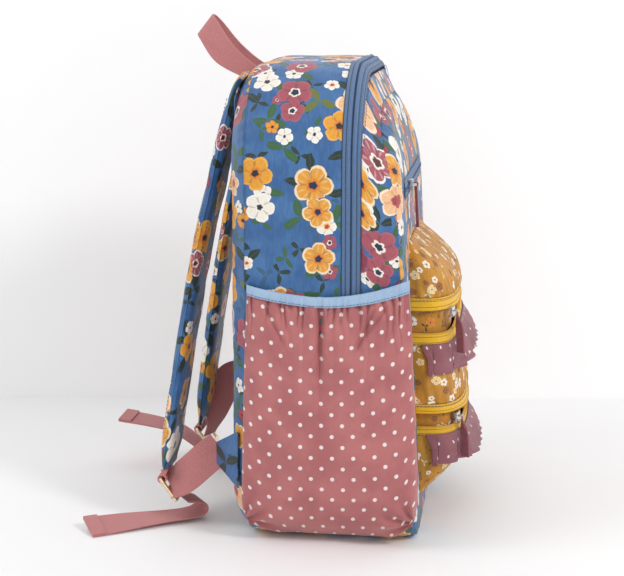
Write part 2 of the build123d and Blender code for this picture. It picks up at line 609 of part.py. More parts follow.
def tails():
    """The left loose end lies on the ground; the right one is stiff enough to stand out behind."""
    z = BUCKLE_HINGE[1] - sin(radians(BUCKLE_DIP)) * (BUCKLE_SPAN + TAIL_START)
    drop = z - WEBBING / 2 - TAIL_GROUND
    lying = [(back, share * drop) for back, share in LYING_TAIL]
    return {
        "webbing_tail_left": tail(lying, LYING_BENDS, LYING_TURN),
        "webbing_tail_right": mirrored(tail(RAISED_TAIL, RAISED_BENDS, RAISED_TURN)),
    }


def haul_loop():
    """The grab loop, an upside-down U of webbing that leans back, and its feet in the seam."""
    half = HAUL_HALF_GAP
    reach = HAUL_REACH
    r = HAUL_TOP_RADIUS
    line = FilletPolyline((-half, 0), (-r, reach), (r, reach), (half, 0), radius=0.9 * r)
    start = Plane(origin=line @ 0, x_dir=(0, 0, 1), z_dir=line % 0)
    loop = sweep(start * Rectangle(HAUL_WIDTH, WEBBING), path=line)
    lean = radians(HAUL_LEAN)
    plane = Plane(origin=(0, *HAUL_FOLD), x_dir=(1, 0, 0), z_dir=(0, -sin(lean), cos(lean)))
    webbing = plane * Pos(0, -HAUL_SUNK, 0) * loop
    foot_room = Pos(0, *HAUL_FOLD) * Rot(0, 90, 0) * Cylinder(HAUL_FOOT_RADIUS, FAR)
    fold_room = Pos(0, *HAUL_FOLD) * Rot(0, 90, 0) * Cylinder(HAUL_FOOT_RADIUS + CLEAR, FAR)
    beyond = plane * region(y=(HAUL_FOOT_RADIUS + CLEAR, FAR))
    return {
        "haul_loop": (webbing & beyond) - fold_room,
        "haul_loop_foot": (webbing & foot_room) - body_solid(-SEAT),
    }


def strap_yoke():
    """The patch on the back panel that the straps are sewn to."""
    patch = arch_prism(BACK_FACE_Y, BACK_FACE_Y + YOKE, BACK_INSET + 1.0)
    return patch & region(x=(-YOKE_HALF_WIDTH, YOKE_HALF_WIDTH), z=(YOKE_LOW_Z, FAR))


def mirrored(shape):
    """The same piece on the other side of the bag."""
    return mirror(shape, about=Plane.YZ)


def build():
    """Every sub-part by name."""
    parts = {}
    for group in (body_panels, padding, main_zip, front_pocket, front_zip, sliders):
        parts.update(group())
    left_parts = {**side_pocket(), **strap()}
    left_parts["buckle"] = buckle()
    left_parts["strap_end"] = strap_end()
    left_parts["anchor_tab"] = anchor()
    left_parts["lower_webbing"] = lower_webbing()
    for name, shape in left_parts.items():
        parts[f"{name}_left"] = shape
        parts[f"{name}_right"] = mirrored(shape)
    parts.update(tails())
    parts.update(haul_loop())
    parts["strap_yoke"] = strap_yoke()
    return parts


os.makedirs("parts", exist_ok=True)
for part_name, part_shape in build().items():
    write(part_shape, part_name)
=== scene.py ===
"""School backpack: the finished look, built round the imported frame.

Lengths are in metres, +Z is up, the front pockets face -Y, the padded back and the straps face +Y,
and the wearer's left is -X.
"""

import json
import logging
import math
from dataclasses import dataclass
from enum import Enum
from typing import Callable, Sequence, Union

import bmesh
import bpy
import numpy as np
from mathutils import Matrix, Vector

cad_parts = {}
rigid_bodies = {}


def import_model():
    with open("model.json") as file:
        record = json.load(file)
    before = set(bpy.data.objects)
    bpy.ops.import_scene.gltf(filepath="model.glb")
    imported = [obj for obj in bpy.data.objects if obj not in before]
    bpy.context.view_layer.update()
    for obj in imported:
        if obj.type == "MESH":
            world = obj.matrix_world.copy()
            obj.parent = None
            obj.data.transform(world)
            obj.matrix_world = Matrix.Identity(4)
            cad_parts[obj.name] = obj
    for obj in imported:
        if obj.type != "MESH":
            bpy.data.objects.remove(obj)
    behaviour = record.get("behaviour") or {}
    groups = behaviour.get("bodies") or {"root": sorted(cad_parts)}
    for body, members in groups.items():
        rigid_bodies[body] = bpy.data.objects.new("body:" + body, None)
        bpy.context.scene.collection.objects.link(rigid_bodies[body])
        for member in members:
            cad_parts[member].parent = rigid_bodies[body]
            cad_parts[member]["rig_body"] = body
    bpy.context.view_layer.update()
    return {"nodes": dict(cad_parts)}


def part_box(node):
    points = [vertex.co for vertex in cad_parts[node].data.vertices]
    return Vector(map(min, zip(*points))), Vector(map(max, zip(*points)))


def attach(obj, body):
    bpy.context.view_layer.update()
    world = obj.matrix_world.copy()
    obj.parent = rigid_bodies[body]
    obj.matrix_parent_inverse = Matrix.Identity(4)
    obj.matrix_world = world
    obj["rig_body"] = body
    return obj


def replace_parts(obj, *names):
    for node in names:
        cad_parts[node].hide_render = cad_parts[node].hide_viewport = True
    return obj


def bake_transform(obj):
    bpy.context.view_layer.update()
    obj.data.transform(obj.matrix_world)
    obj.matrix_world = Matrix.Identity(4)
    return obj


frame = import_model()
log = logging.getLogger("backpack")

Array = np.ndarray
Triple = tuple[float, float, float]
Colour = Triple
Piece = bpy.types.Object
Finish = bpy.types.Material
Number = Union[float, "Sig"]
Stops = tuple[tuple[float, Colour], ...]
Knots = Sequence[tuple[float, float]]
UV_NAME = "cloth"
SMOOTH_EDGE = math.radians(32)


# ------------------------------------------------------------------ small maths
def smooth(low: float, high: float, value: Array) -> Array:
    """Smoothstep of value from low to high."""
    t = np.clip((np.asarray(value, float) - low) / (high - low), 0, 1)
    return t * t * (3 - 2 * t)


def along_curve(value: Array, knots: Knots) -> Array:
    """Value read off a gently rounded line through the knots.

    Args:
        value: Where to read it.
        knots: Pairs of place and height, in rising order of place.

    Returns:
        The heights, eased between the knots.
    """
    places = np.array([k[0] for k in knots])
    heights = np.array([k[1] for k in knots])
    steps = np.diff(heights) / np.diff(places)
    inner = (steps[1:] * np.diff(places)[:-1] + steps[:-1] * np.diff(places)[1:]) / (
        np.diff(places)[1:] + np.diff(places)[:-1]
    )
    slopes = np.concatenate([[steps[0]], inner, [steps[-1]]])
    v = np.clip(np.asarray(value, float), places[0], places[-1])
    i = np.clip(np.searchsorted(places, v, side="right") - 1, 0, len(places) - 2)
    w = places[i + 1] - places[i]
    t = (v - places[i]) / w
    return (
        heights[i] * (2 * t**3 - 3 * t**2 + 1)
        + heights[i + 1] * (3 * t**2 - 2 * t**3)
        + slopes[i] * w * (t**3 - 2 * t**2 + t)
        + slopes[i + 1] * w * (t**3 - t**2)
    )


@dataclass(frozen=True)
class Ripple:
    """Soft uneven hills and hollows, the same each time for one seed."""

    seed: int
    pitch: float
    size: int = 64

    def at(self, u: Array, v: Array) -> Array:
        """Height from -1 to 1 at the given places in metres."""
        table = np.random.default_rng(self.seed).uniform(-1, 1, (self.size, self.size))
        x, y = np.broadcast_arrays(np.asarray(u, float) / self.pitch, np.asarray(v, float) / self.pitch)
        i, j = np.floor(x).astype(int), np.floor(y).astype(int)
        a, b = x - i, y - j
        a, b = a * a * (3 - 2 * a), b * b * (3 - 2 * b)
        n = self.size
        low = table[i % n, j % n] * (1 - a) + table[(i + 1) % n, j % n] * a
        high = table[i % n, (j + 1) % n] * (1 - a) + table[(i + 1) % n, (j + 1) % n] * a
        return low * (1 - b) + high * b


def bell(value: Array, width: float) -> Array:
    """A hump that is 1 at nought and fades over width on both sides."""
    return np.exp(-((value / width) ** 2))


def signed_power(value: Array, power: float) -> Array:
    """A power that keeps the sign."""
    return np.sign(value) * np.abs(value) ** power


def unit(rows: Array) -> Array:
    """Directions of length 1."""
    return rows / np.linalg.norm(rows, axis=1, keepdims=True)


def together(*numbers: Array) -> Array:
    """Numbers over the same rows and columns, as points or as a map."""
    return np.stack(np.broadcast_arrays(*numbers), -1)


def capped(points: Array) -> Array:
    """Rings of points with each end drawn together to one place."""
    ends = [ring.mean(1, keepdims=True).repeat(points.shape[1], 1) for ring in (points[:1], points[-1:])]
    return np.concatenate([ends[0], points, ends[1]])


# ------------------------------------------------------------------ meshes
def link(name: str, mesh: bpy.types.Mesh) -> Piece:
    """Put a mesh in the scene under a name."""
    obj = bpy.data.objects.new(name, mesh)
    bpy.context.scene.collection.objects.link(obj)
    return obj


def edit(obj: Piece, work: Callable[[bmesh.types.BMesh], None]) -> Piece:
    """Run some bmesh work on a piece's mesh."""
    bm = bmesh.new()
    bm.from_mesh(obj.data)
    work(bm)
    bm.to_mesh(obj.data)
    bm.free()
    obj.data.update()
    return obj


def bake(obj: Piece) -> Piece:
    """Turn a piece and its modifiers into a plain mesh."""
    graph = bpy.context.evaluated_depsgraph_get()
    mesh = bpy.data.meshes.new_from_object(
        obj.evaluated_get(graph), preserve_all_data_layers=True, depsgraph=graph
    )
    obj.modifiers.clear()
    obj.data = mesh
    return obj


def shade_smooth(obj: Piece, sharp: float = math.pi) -> Piece:
    """Smooth the shading, leaving edges that turn more than sharp."""
    obj.data.polygons.foreach_set("use_smooth", [True] * len(obj.data.polygons))
    if sharp < math.pi:
        obj.data.set_sharp_from_angle(angle=sharp)
    return obj


def grid(
    name: str, points: Array, uv: Array, closed: bool = False, away: Sequence[float] = (0, 0, 0.2)
) -> Piece:
    """A sheet of quads over rows and columns of points, with its faces turned away from a place.

    Args:
        name: The piece's name.
        points: Rows by columns by 3.
        uv: Rows by columns by 2, in metres of cloth.
        closed: Whether the last column joins the first.
        away: The faces look away from here.

    Returns:
        The new object.
    """
    rows, cols = points.shape[:2]
    index = np.arange(rows * cols).reshape(rows, cols)
    turn = np.roll(index, -1, 1) if closed else index[:, 1:]
    base = index if closed else index[:, :-1]
    quads = np.stack([base[:-1], turn[:-1], turn[1:], base[1:]], -1).reshape(-1, 4)
    mesh = bpy.data.meshes.new(name)
    mesh.from_pydata(points.reshape(-1, 3).tolist(), [], quads.tolist())
    layer = mesh.uv_layers.new(name=UV_NAME)
    flat = uv.reshape(-1, 2)
    layer.data.foreach_set("uv", flat[quads.ravel()].astype(np.float32).ravel())
    obj = link(name, mesh)

    def tidy(bm: bmesh.types.BMesh) -> None:
        """Close poles and face outwards."""
        bmesh.ops.remove_doubles(bm, verts=bm.verts, dist=1e-6)
        bm.normal_update()
        middle = Vector(away)
        lean = sum(f.normal.dot((f.calc_center_median() - middle)) * f.calc_area() for f in bm.faces)
        if lean < 0:
            bmesh.ops.reverse_faces(bm, faces=bm.faces)

    return shade_smooth(edit(obj, tidy))


def outwards(obj: Piece) -> Piece:
    """Turn the faces of a closed piece outwards."""
    return edit(obj, lambda bm: bmesh.ops.recalc_face_normals(bm, faces=bm.faces))


def thicken(obj: Piece, wall: float, lined: bool = False) -> Piece:
    """Give a sheet its thickness, inwards from its face.

    Args:
        obj: The sheet.
        wall: Its thickness.
        lined: Whether the inside takes the second material.

    Returns:
        The same object, as a closed solid.
    """
    solid = obj.modifiers.new("wall", "SOLIDIFY")
    solid.thickness = wall
    solid.offset = -1
    solid.use_even_offset = False
    solid.material_offset = 1 if lined else 0
    return bake(obj)


def soft_copy(node: str, width: float, segments: int = 2) -> Piece:
    """A copy of a rigid frame part with its edges eased."""
    obj = link(f"{node}_finished", frame["nodes"][node].data.copy())
    obj.data.materials.clear()

    def tidy(bm: bmesh.types.BMesh) -> None:
        """Join the loose triangles into flat faces."""
        bmesh.ops.remove_doubles(bm, verts=bm.verts, dist=1e-6)
        bmesh.ops.dissolve_limit(
            bm, angle_limit=math.radians(2), verts=bm.verts, edges=bm.edges, delimit={"NORMAL"}
        )

    edit(obj, tidy)
    ease = obj.modifiers.new("ease", "BEVEL")
    ease.width = width
    ease.segments = segments
    ease.limit_method = "ANGLE"
    ease.angle_limit = SMOOTH_EDGE
    ease.use_clamp_overlap = True
    bake(obj)
    return shade_smooth(obj, SMOOTH_EDGE)


def strip_points(path: Array, across: Array, lift: Array, section: Array) -> Array:
    """Sweep a flat section along a path.

    Args:
        path: Points along the middle.
        across: Unit direction of the width at each point.
        lift: Unit direction of the thickness at each point.
        section: Pairs of place across and height, round the section.

    Returns:
        Points, one row for each place along the path.
    """
    return (
        path[:, None, :]
        + across[:, None, :] * section[None, :, 0:1]
        + lift[:, None, :] * section[None, :, 1:2]
    )


def lengths(path: Array) -> Array:
    """Distance along a path at each of its points."""
    return np.concatenate([[0], np.cumsum(np.linalg.norm(np.diff(path, axis=0), axis=1))])


def even_path(knots: Sequence[Sequence[float]], step: float, degree: int = 2) -> Array:
    """Points at even steps along a smooth curve guided by knots.

    Args:
        knots: Guide points. The curve starts at the first and ends at the last.
        step: Distance between points.
        degree: 2 follows the guides closely.

    Returns:
        Points by 3.
    """
    guide = np.array(knots, float)
    for _ in range(2 + degree):
        left = guide[:-1] * 0.75 + guide[1:] * 0.25
        right = guide[:-1] * 0.25 + guide[1:] * 0.75
        guide = np.concatenate([guide[:1], np.stack([left, right], 1).reshape(-1, 3), guide[-1:]])
    run = lengths(guide)
    wanted = np.linspace(0, run[-1], max(2, int(run[-1] / step) + 1))
    return np.stack([np.interp(wanted, run, guide[:, k]) for k in range(3)], 1)


def flat_section(width: float, thick: float) -> Array:
    """A thin strip's section with rounded edges, closed round."""
    w, t = width / 2, thick / 2
    top = [(-w, 0), (-w + t * 0.6, t)]
    top += [(x, t) for x in np.linspace(-w * 0.8, w * 0.8, 7)]
    top += [(w - t * 0.6, t), (w, 0)]
    low = [(x, -y) for x, y in top[-2:0:-1]]
    return np.array(top + low)


def strip(
    name: str,
    path: Array,
    across: Array,
    width: float,
    thick: float,
    v0: float = 0.0,
    taper: Array | float = 1.0,
) -> Piece:
    """A strip of webbing or ribbon along a path, closed at both ends.

    Args:
        name: The piece's name.
        path: Points along its middle.
        across: Unit direction of its width at each point.
        width: Its width.
        thick: Its thickness.
        v0: Where the weave starts along the strip.
        taper: Share of the width at each point.

    Returns:
        The new object, with the weave's map along it.
    """
    tangent = unit(np.gradient(path, axis=0))
    across = across - tangent * (across * tangent).sum(1, keepdims=True)
    across = unit(across)
    lift = np.cross(across, tangent)
    section = flat_section(width, thick)
    points = strip_points(path, across * np.broadcast_to(taper, len(path))[:, None], lift, section)
    first, last = path[0][None, None].repeat(len(section), 1), path[-1][None, None].repeat(len(section), 1)
    points = np.concatenate([first, points, last])
    run = lengths(path)
    run = np.concatenate([run[:1], run, run[-1:]]) + v0
    uv = together(section[None, :, 0], run[:, None])
    obj = grid(name, points, uv, closed=True, away=path.mean(0))
    outwards(obj)
    return shade_smooth(obj, SMOOTH_EDGE)


def weld(name: str, pieces: Sequence[Piece]) -> Piece:
    """Join several objects into one piece."""
    bpy.ops.object.select_all(action="DESELECT")
    for piece in pieces:
        piece.select_set(True)
    bpy.context.view_layer.objects.active = pieces[0]
    bpy.ops.object.join()
    pieces[0].name = name
    pieces[0].data.name = name
    return pieces[0]


# ------------------------------------------------------------------ shader sockets
class Sig:
    """A shader socket that sums can be written on."""

    def __init__(self, shade: "Shade", socket: bpy.types.NodeSocket) -> None:
        """Remember the socket and the material that it is in."""
        self.shade = shade
        self.socket = socket

    def maths(self, operation: str, *others: Number) -> "Sig":
        """A Math node with this socket first."""
        inputs = {i: v for i, v in enumerate((self, *others))}
        return self.shade.node("ShaderNodeMath", {"operation": operation}, inputs)

    def swapped(self, operation: str, other: Number) -> "Sig":
        """A Math node with this socket second."""
        return self.shade.node("ShaderNodeMath", {"operation": operation}, {0: other, 1: self})

    def __add__(self, other: Number) -> "Sig":
        """Sum."""
        return self.maths("ADD", other)

    __radd__ = __add__

    def __sub__(self, other: Number) -> "Sig":
        """Difference."""
        return self.maths("SUBTRACT", other)

    def __rsub__(self, other: Number) -> "Sig":
        """Difference, the other way round."""
        return self.swapped("SUBTRACT", other)

    def __mul__(self, other: Number) -> "Sig":
        """Product."""
        return self.maths("MULTIPLY", other)

    __rmul__ = __mul__

    def __truediv__(self, other: Number) -> "Sig":
        """Quotient."""
        return self.maths("DIVIDE", other)

    def __rtruediv__(self, other: Number) -> "Sig":
        """Quotient, the other way round."""
        return self.swapped("DIVIDE", other)

    def __pow__(self, other: Number) -> "Sig":
        """Power."""
        return self.maths("POWER", other)

    def __abs__(self) -> "Sig":
        """Size without sign."""
        return self.maths("ABSOLUTE")

    def step(self, low: Number, high: Number) -> "Sig":
        """Smoothstep from low to high. With low above high it falls."""
        return self.shade.node(
            "ShaderNodeMapRange",
            {"interpolation_type": "SMOOTHSTEP"},
            {"Value": self, "From Min": low, "From Max": high},
        )


class Shade:
    """One material and its nodes."""

    def __init__(self, name: str) -> None:
        """Start an empty material with a Principled shader."""
        self.material = bpy.data.materials.new(name)
        self.material.use_nodes = True
        self.tree = self.material.node_tree
        self.tree.nodes.clear()
        self.shader = self.tree.nodes.new("ShaderNodeBsdfPrincipled")
        output = self.tree.nodes.new("ShaderNodeOutputMaterial")
        self.tree.links.new(self.shader.outputs[0], output.inputs[0])

    def put(self, holder: bpy.types.Node, key: "str | int", value: object) -> None:
        """Set or link one input socket."""
        if isinstance(value, Sig):
            self.tree.links.new(value.socket, holder.inputs[key])
        elif isinstance(value, tuple) and len(value) == 3 and holder.inputs[key].type == "RGBA":
            holder.inputs[key].default_value = (*value, 1.0)
        else:
            holder.inputs[key].default_value = value

    def node(
        self, kind: str, settings: dict | None = None, sockets: dict | None = None, out: "str | int" = 0
    ) -> Sig:
        """Add any node.

        Args:
            kind: Its type.
            settings: Its own properties. "stops" fills a colour ramp with (place, colour) pairs.
            sockets: Values or links for its inputs, by name or number.
            out: The output wanted.

        Returns:
            The output, ready for sums.
        """
        made = self.tree.nodes.new(kind)
        for key, value in (settings or {}).items():
            if key == "stops":
                ramp = made.color_ramp
                ramp.elements.remove(ramp.elements[1])
                ramp.elements[0].position = value[0][0]
                ramp.elements[0].color = (*value[0][1], 1.0)
                for place, colour in value[1:]:
                    ramp.elements.new(place).color = (*colour, 1.0)
            elif key == "ramp_interpolation":
                made.color_ramp.interpolation = value
            else:
                setattr(made, key, value)
        for key, value in (sockets or {}).items():
            self.put(made, key, value)
        return Sig(self, made.outputs[out])

    def other(self, sig: Sig, out: "str | int") -> Sig:
        """Another output of the node that a socket is on."""
        return Sig(self, sig.socket.node.outputs[out])

    def mix(self, share: Number, first: object, second: object) -> Sig:
        """Mix two colours."""
        return self.node(
            "ShaderNodeMix", {"data_type": "RGBA"}, {0: share, 6: first, 7: second}, out=2
        )

    def shift(self, vector: Sig, by: Triple, scale: float = 1.0) -> Sig:
        """A vector moved by an offset, then scaled."""
        moved = self.node("ShaderNodeVectorMath", {"operation": "ADD"}, {0: vector, 1: by})
        return self.node("ShaderNodeVectorMath", {"operation": "SCALE"}, {0: moved, "Scale": scale})

    def stretched(self, vector: Sig, by: Triple) -> Sig:
        """A vector with each of its numbers multiplied."""
        return self.node("ShaderNodeVectorMath", {"operation": "MULTIPLY"}, {0: vector, 1: by})

    def choice(self, stops: Stops, kind: Sig) -> Sig:
        """One of several flat colours."""
        return self.node(
            "ShaderNodeValToRGB", {"ramp_interpolation": "CONSTANT", "stops": stops}, {0: kind}
        )

    def scatter(
        self, cloth: Sig, offset: Triple, spacing: float, loose: float
    ) -> tuple[Sig, ...]:
        """Scattered places on the cloth.

        Args:
            cloth: The map in metres.
            offset: Moves the whole pattern.
            spacing: Distance from one place to the next.
            loose: How far the places leave their rows, from 0 to 1.

        Returns:
            x and y from the nearest place, then three numbers from 0 to 1 that are its own.
        """
        place = self.shift(cloth, offset, 1 / spacing)
        cell = self.node(
            "ShaderNodeTexVoronoi",
            {"voronoi_dimensions": "2D"},
            {"Vector": place, "Scale": 1.0, "Randomness": loose},
            out="Color",
        )
        centre = self.other(cell, "Position")
        local = self.node("ShaderNodeVectorMath", {"operation": "SUBTRACT"}, {0: place, 1: centre})
        x, y, _ = self.parts(local)
        own = [self.node("ShaderNodeSeparateColor", None, {0: cell}, out=k) for k in range(3)]
        return x, y, *own

    def parts(self, vector: Sig) -> tuple[Sig, Sig, Sig]:
        """The three numbers of a vector."""
        first = self.node("ShaderNodeSeparateXYZ", None, {0: vector})
        return first, self.other(first, 1), self.other(first, 2)

    def cloth_map(self) -> Sig:
        """The piece's own map, in metres of cloth."""
        return self.node("ShaderNodeUVMap", {"uv_map": UV_NAME})

    def place(self) -> Sig:
        """The place on the piece, in metres."""
        return self.node("ShaderNodeTexCoord", None, None, out="Object")

    def noise(self, vector: Sig, scale: float, detail: float = 2.0, flat: bool = True) -> Sig:
        """Cloudy variation from 0 to 1."""
        return self.node(
            "ShaderNodeTexNoise",
            {"noise_dimensions": "2D" if flat else "3D"},
            {"Vector": vector, "Scale": scale, "Detail": detail},
        )

    def bump(self, height: Sig, strength: float, distance: float) -> Sig:
        """A Bump node's normal."""
        return self.node(
            "ShaderNodeBump", None, {"Height": height, "Strength": strength, "Distance": distance}
        )

    def finish(self, **sockets: object) -> Finish:
        """Set the shader's sockets, named with underscores for spaces, and return the material."""
        for key, value in sockets.items():
            self.put(self.shader, key.replace("_", " "), value)
        return self.material


# ------------------------------------------------------------------ finishes
def weave_height(shade: Shade, cloth: Sig, pitch: float) -> Sig:
    """The ups and downs of a plain weave."""
    u, v, _ = shade.parts(cloth)
    turn = 2 * math.pi / pitch
    return (u * turn).maths("SINE") * (v * turn).maths("SINE")


class Weave(Enum):
    """Kinds of woven strip."""

    HERRINGBONE = "herringbone"
    RIBBED = "ribbed"
    TAPE = "tape"


@dataclass(frozen=True)
class FlowerBed:
    """One layer of scattered flowers on a print."""

    spacing: float
    offset: Triple
    small: float
    large: float
    petals: int
    share: float
    colours: Stops
    rims: Stops
    hearts: Stops
    rings: Stops

    def paint(self, shade: Shade, cloth: Sig, under: Sig) -> Sig:
        """Paint the flowers over what is under them.

        Args:
            shade: The material.
            cloth: The map in metres.
            under: The colour so far.

        Returns:
            The colour with the flowers.
        """
        x, y, kind, size, spin = shade.scatter(cloth, self.offset, self.spacing, 0.78)
        reach = (x * x + y * y).maths("SQRT")
        angle = y.maths("ARCTAN2", x) + spin * (2 * math.pi)
        petal = abs((angle * (self.petals / 2)).maths("COSINE"))
        radius = size * (self.large - self.small) + self.small
        edge = radius * (petal**0.55 * 0.32 + 0.68)
        share = reach / edge
        shown = share.step(1.03, 0.97) * (spin.maths("LESS_THAN", self.share))
        body, rim, heart, ring = (
            shade.choice(stops, kind) for stops in (self.colours, self.rims, self.hearts, self.rings)
        )
        streak = (angle * (self.petals * 2.5)).maths("SINE").step(0.15, 0.9) * share.step(0.35, 0.6)
        streak = streak * share.step(0.95, 0.7)
        colour = shade.mix(streak * 0.28, body, rim)
        fold = petal.step(0.42, 0.12) * share.step(0.3, 0.5)
        colour = shade.mix(fold * 0.35, colour, heart)
        colour = shade.mix(share.step(0.85, 0.89) * 0.95, colour, rim)
        colour = shade.mix(share.step(0.37, 0.31), colour, ring)
        colour = shade.mix(share.step(0.24, 0.19), colour, heart)
        return shade.mix(shown, under, colour)


@dataclass(frozen=True)
class LeafBed:
    """Leaves scattered in pairs on a print."""

    spacing: float
    offset: Triple
    share: float
    colours: Stops
    length: float = 0.3
    width: float = 0.12

    def paint(self, shade: Shade, cloth: Sig, under: Sig) -> Sig:
        """Paint the leaves over what is under them, as FlowerBed does."""
        x, y, kind, lot, spin = shade.scatter(cloth, self.offset, self.spacing, 0.85)
        tone = shade.choice(self.colours, kind)
        for turn in (0.0, 1.9, 3.6):
            angle = spin * (2 * math.pi) + turn
            c, s = angle.maths("COSINE"), angle.maths("SINE")
            forward = x * c + y * s - self.length
            aside = abs(y * c - x * s)
            full = 1 - (forward / self.length) ** 2.0
            inside = (full * self.width - aside).step(-0.008, 0.012)
            shown = inside * lot.maths("LESS_THAN", self.share)
            vein = aside.step(0.004, 0.014)
            leaf = shade.mix(vein * 0.25 + 0.75, (0.16, 0.22, 0.06), tone)
            under = shade.mix(shown, under, leaf)
        return under


@dataclass(frozen=True)
class PrintedCloth:
    """Cloth printed with flowers."""

    name: str
    ground: Colour
    ground_light: Colour
    beds: tuple["FlowerBed | LeafBed", ...]
    roughness: float
    sheen: float
    pitch: float = 0.0011
    brush: float = 0.0011

    def make(self) -> Finish:
        """Build the material."""
        shade = Shade(self.name)
        cloth = shade.cloth_map()
        wobble = shade.node(
            "ShaderNodeTexNoise", {"noise_dimensions": "2D"}, {"Vector": cloth, "Scale": 170.0}, out="Color"
        )
        centred = shade.shift(wobble, (-0.5, -0.5, -0.5), 2 * self.brush)
        drawn = shade.node("ShaderNodeVectorMath", {"operation": "ADD"}, {0: cloth, 1: centred})
        clouds = shade.noise(cloth, 34.0, 3.0).step(0.38, 0.66)
        strokes = shade.noise(
            shade.stretched(cloth, (1.0, 0.22, 1.0)), 420.0, 1.0
        ).step(0.35, 0.75)
        colour = shade.mix(clouds * 0.55 + strokes * 0.3, self.ground, self.ground_light)
        for bed in self.beds:
            colour = bed.paint(shade, drawn, colour)
        worn = shade.noise(cloth, 900.0, 1.0)
        colour = shade.mix(worn.step(0.3, 0.8) * 0.1, colour, (0.02, 0.03, 0.05))
        height = weave_height(shade, cloth, self.pitch) + shade.noise(cloth, 60.0, 3.0) * 2.0
        rough = shade.noise(cloth, 25.0) * 0.12 + self.roughness
        return shade.finish(
            Base_Color=colour,
            Roughness=rough,
            Normal=shade.bump(height, 0.35, 0.0002),
            Sheen_Weight=self.sheen,
            Sheen_Roughness=0.4,
        )


@dataclass(frozen=True)
class DottedCloth:
    """Plain-coloured cloth printed with small round dots in staggered rows."""

    name: str
    ground: Colour
    ground_dark: Colour
    across: float
    rows: float
    dot: float
    roughness: float = 0.62

    def make(self) -> Finish:
        """Build the material."""
        shade = Shade(self.name)
        cloth = shade.cloth_map()
        u, v, _ = shade.parts(cloth)
        row = v / self.rows
        half = row.maths("FLOOR").maths("MODULO", 2.0) * 0.5
        x = ((u / self.across + abs(half)).maths("FRACT") - 0.5) * self.across
        y = (row.maths("FRACT") - 0.5) * self.rows
        reach = (x * x + y * y).maths("SQRT")
        dots = reach.step(self.dot / 2 + 0.00025, self.dot / 2 - 0.00015)
        clouds = shade.noise(cloth, 28.0, 3.0).step(0.3, 0.7)
        threads = shade.noise(shade.stretched(cloth, (1.0, 0.1, 1.0)), 1500.0, 1.0)
        ground = shade.mix(clouds * 0.5 + threads * 0.35, self.ground, self.ground_dark)
        colour = shade.mix(dots * 0.94, ground, (0.84, 0.76, 0.74))
        height = weave_height(shade, cloth, 0.0009) + shade.noise(cloth, 80.0, 3.0) * 2.5
        return shade.finish(
            Base_Color=colour,
            Roughness=shade.noise(cloth, 40.0) * 0.1 + self.roughness,
            Normal=shade.bump(height, 0.4, 0.00022),
            Sheen_Weight=0.25,
        )


@dataclass(frozen=True)
class WovenStrip:
    """Webbing, ribbon or zip tape, woven along its length."""

    name: str
    colour: Colour
    dark: Colour
    weave: Weave
    pitch: float
    width: float
    roughness: float = 0.7
    lines: tuple[float, ...] = ()
    line_colour: Colour = (0.05, 0.07, 0.12)

    def make(self) -> Finish:
        """Build the material."""
        shade = Shade(self.name)
        cloth = shade.cloth_map()
        u, v, _ = shade.parts(cloth)
        turn = 2 * math.pi / self.pitch
        if self.weave is Weave.HERRINGBONE:
            zig = abs((u / (self.width / 6)).maths("FRACT") - 0.5) * (self.width / 3)
            height = ((v + zig) * turn).maths("SINE")
        elif self.weave is Weave.RIBBED:
            height = (v * turn).maths("SINE")
        else:
            height = (u * turn).maths("SINE") * 0.7 + (v * turn * 1.3).maths("SINE") * 0.5
        grain = shade.noise(cloth, 700.0, 2.0)
        # Painted shade: darker in the weave's hollows, where the height is low, mixed with random grain
        # that is real uneven tone.
        weave_shade_and_grain = height.step(0.1, -0.9) * 0.55 + grain.step(0.4, 0.75) * 0.25
        colour = shade.mix(weave_shade_and_grain, self.colour, self.dark)
        clouds = shade.noise(cloth, 45.0, 2.0)
        colour = shade.mix(clouds.step(0.55, 0.85) * 0.25, colour, self.dark)
        for line in self.lines:
            colour = shade.mix(abs(u - line).step(0.0005, 0.00025) * 0.8, colour, self.line_colour)
        return shade.finish(
            Base_Color=colour,
            Roughness=grain * 0.1 + self.roughness,
            Normal=shade.bump(height + grain, 0.6, 0.0003),
            Sheen_Weight=0.2,
        )


@dataclass(frozen=True)
class Metal:
    """Plated metal with handling marks."""

    name: str
    colour: Colour
    dark: Colour
    roughness: float
    tarnish: float

    def make(self) -> Finish:
        """Build the material."""
        shade = Shade(self.name)
        place = shade.place()
        clouds = shade.noise(place, 260.0, 4.0, flat=False)
        scratches = shade.noise(shade.stretched(place, (9.0, 1.0, 1.0)), 500.0, 2.0, flat=False)
        colour = shade.mix(clouds.step(0.45, 0.8) * self.tarnish, self.colour, self.dark)
        rough = clouds * 0.15 + scratches.step(0.5, 0.7) * 0.12 + self.roughness
        return shade.finish(
            Base_Color=colour,
            Roughness=rough,
            Metallic=1.0,
            Normal=shade.bump(scratches + clouds, 0.15, 0.0001),
        )


@dataclass(frozen=True)
class PlainCloth:
    """One-coloured cloth, thread or coil, with its grain and uneven dye."""

    name: str
    colour: Colour
    dark: Colour
    roughness: float = 0.65
    scale: float = 1.0
    stitched: bool = False

    def make(self) -> Finish:
        """Build the material."""
        shade = Shade(self.name)
        place = shade.cloth_map() if self.stitched else shade.place()
        fine = shade.noise(place, 900.0 * self.scale, 2.0, flat=False)
        broad = shade.noise(place, 40.0 * self.scale, 3.0, flat=False)
        colour = shade.mix(fine.step(0.35, 0.7) * 0.35 + broad.step(0.4, 0.7) * 0.3, self.colour, self.dark)
        if self.stitched:
            u, v, _ = shade.parts(place)
            dash = (u / 0.0028).maths("FRACT").step(0.25, 0.32)
            line = abs(v - 0.0016).step(0.0005, 0.0002) * dash
            colour = shade.mix(line * 0.5, colour, self.dark)
        return shade.finish(
            Base_Color=colour,
            Roughness=fine * 0.1 + self.roughness,
            Normal=shade.bump(fine + broad * 2.0, 0.35, 0.00025),
            Sheen_Weight=0.15,
        )


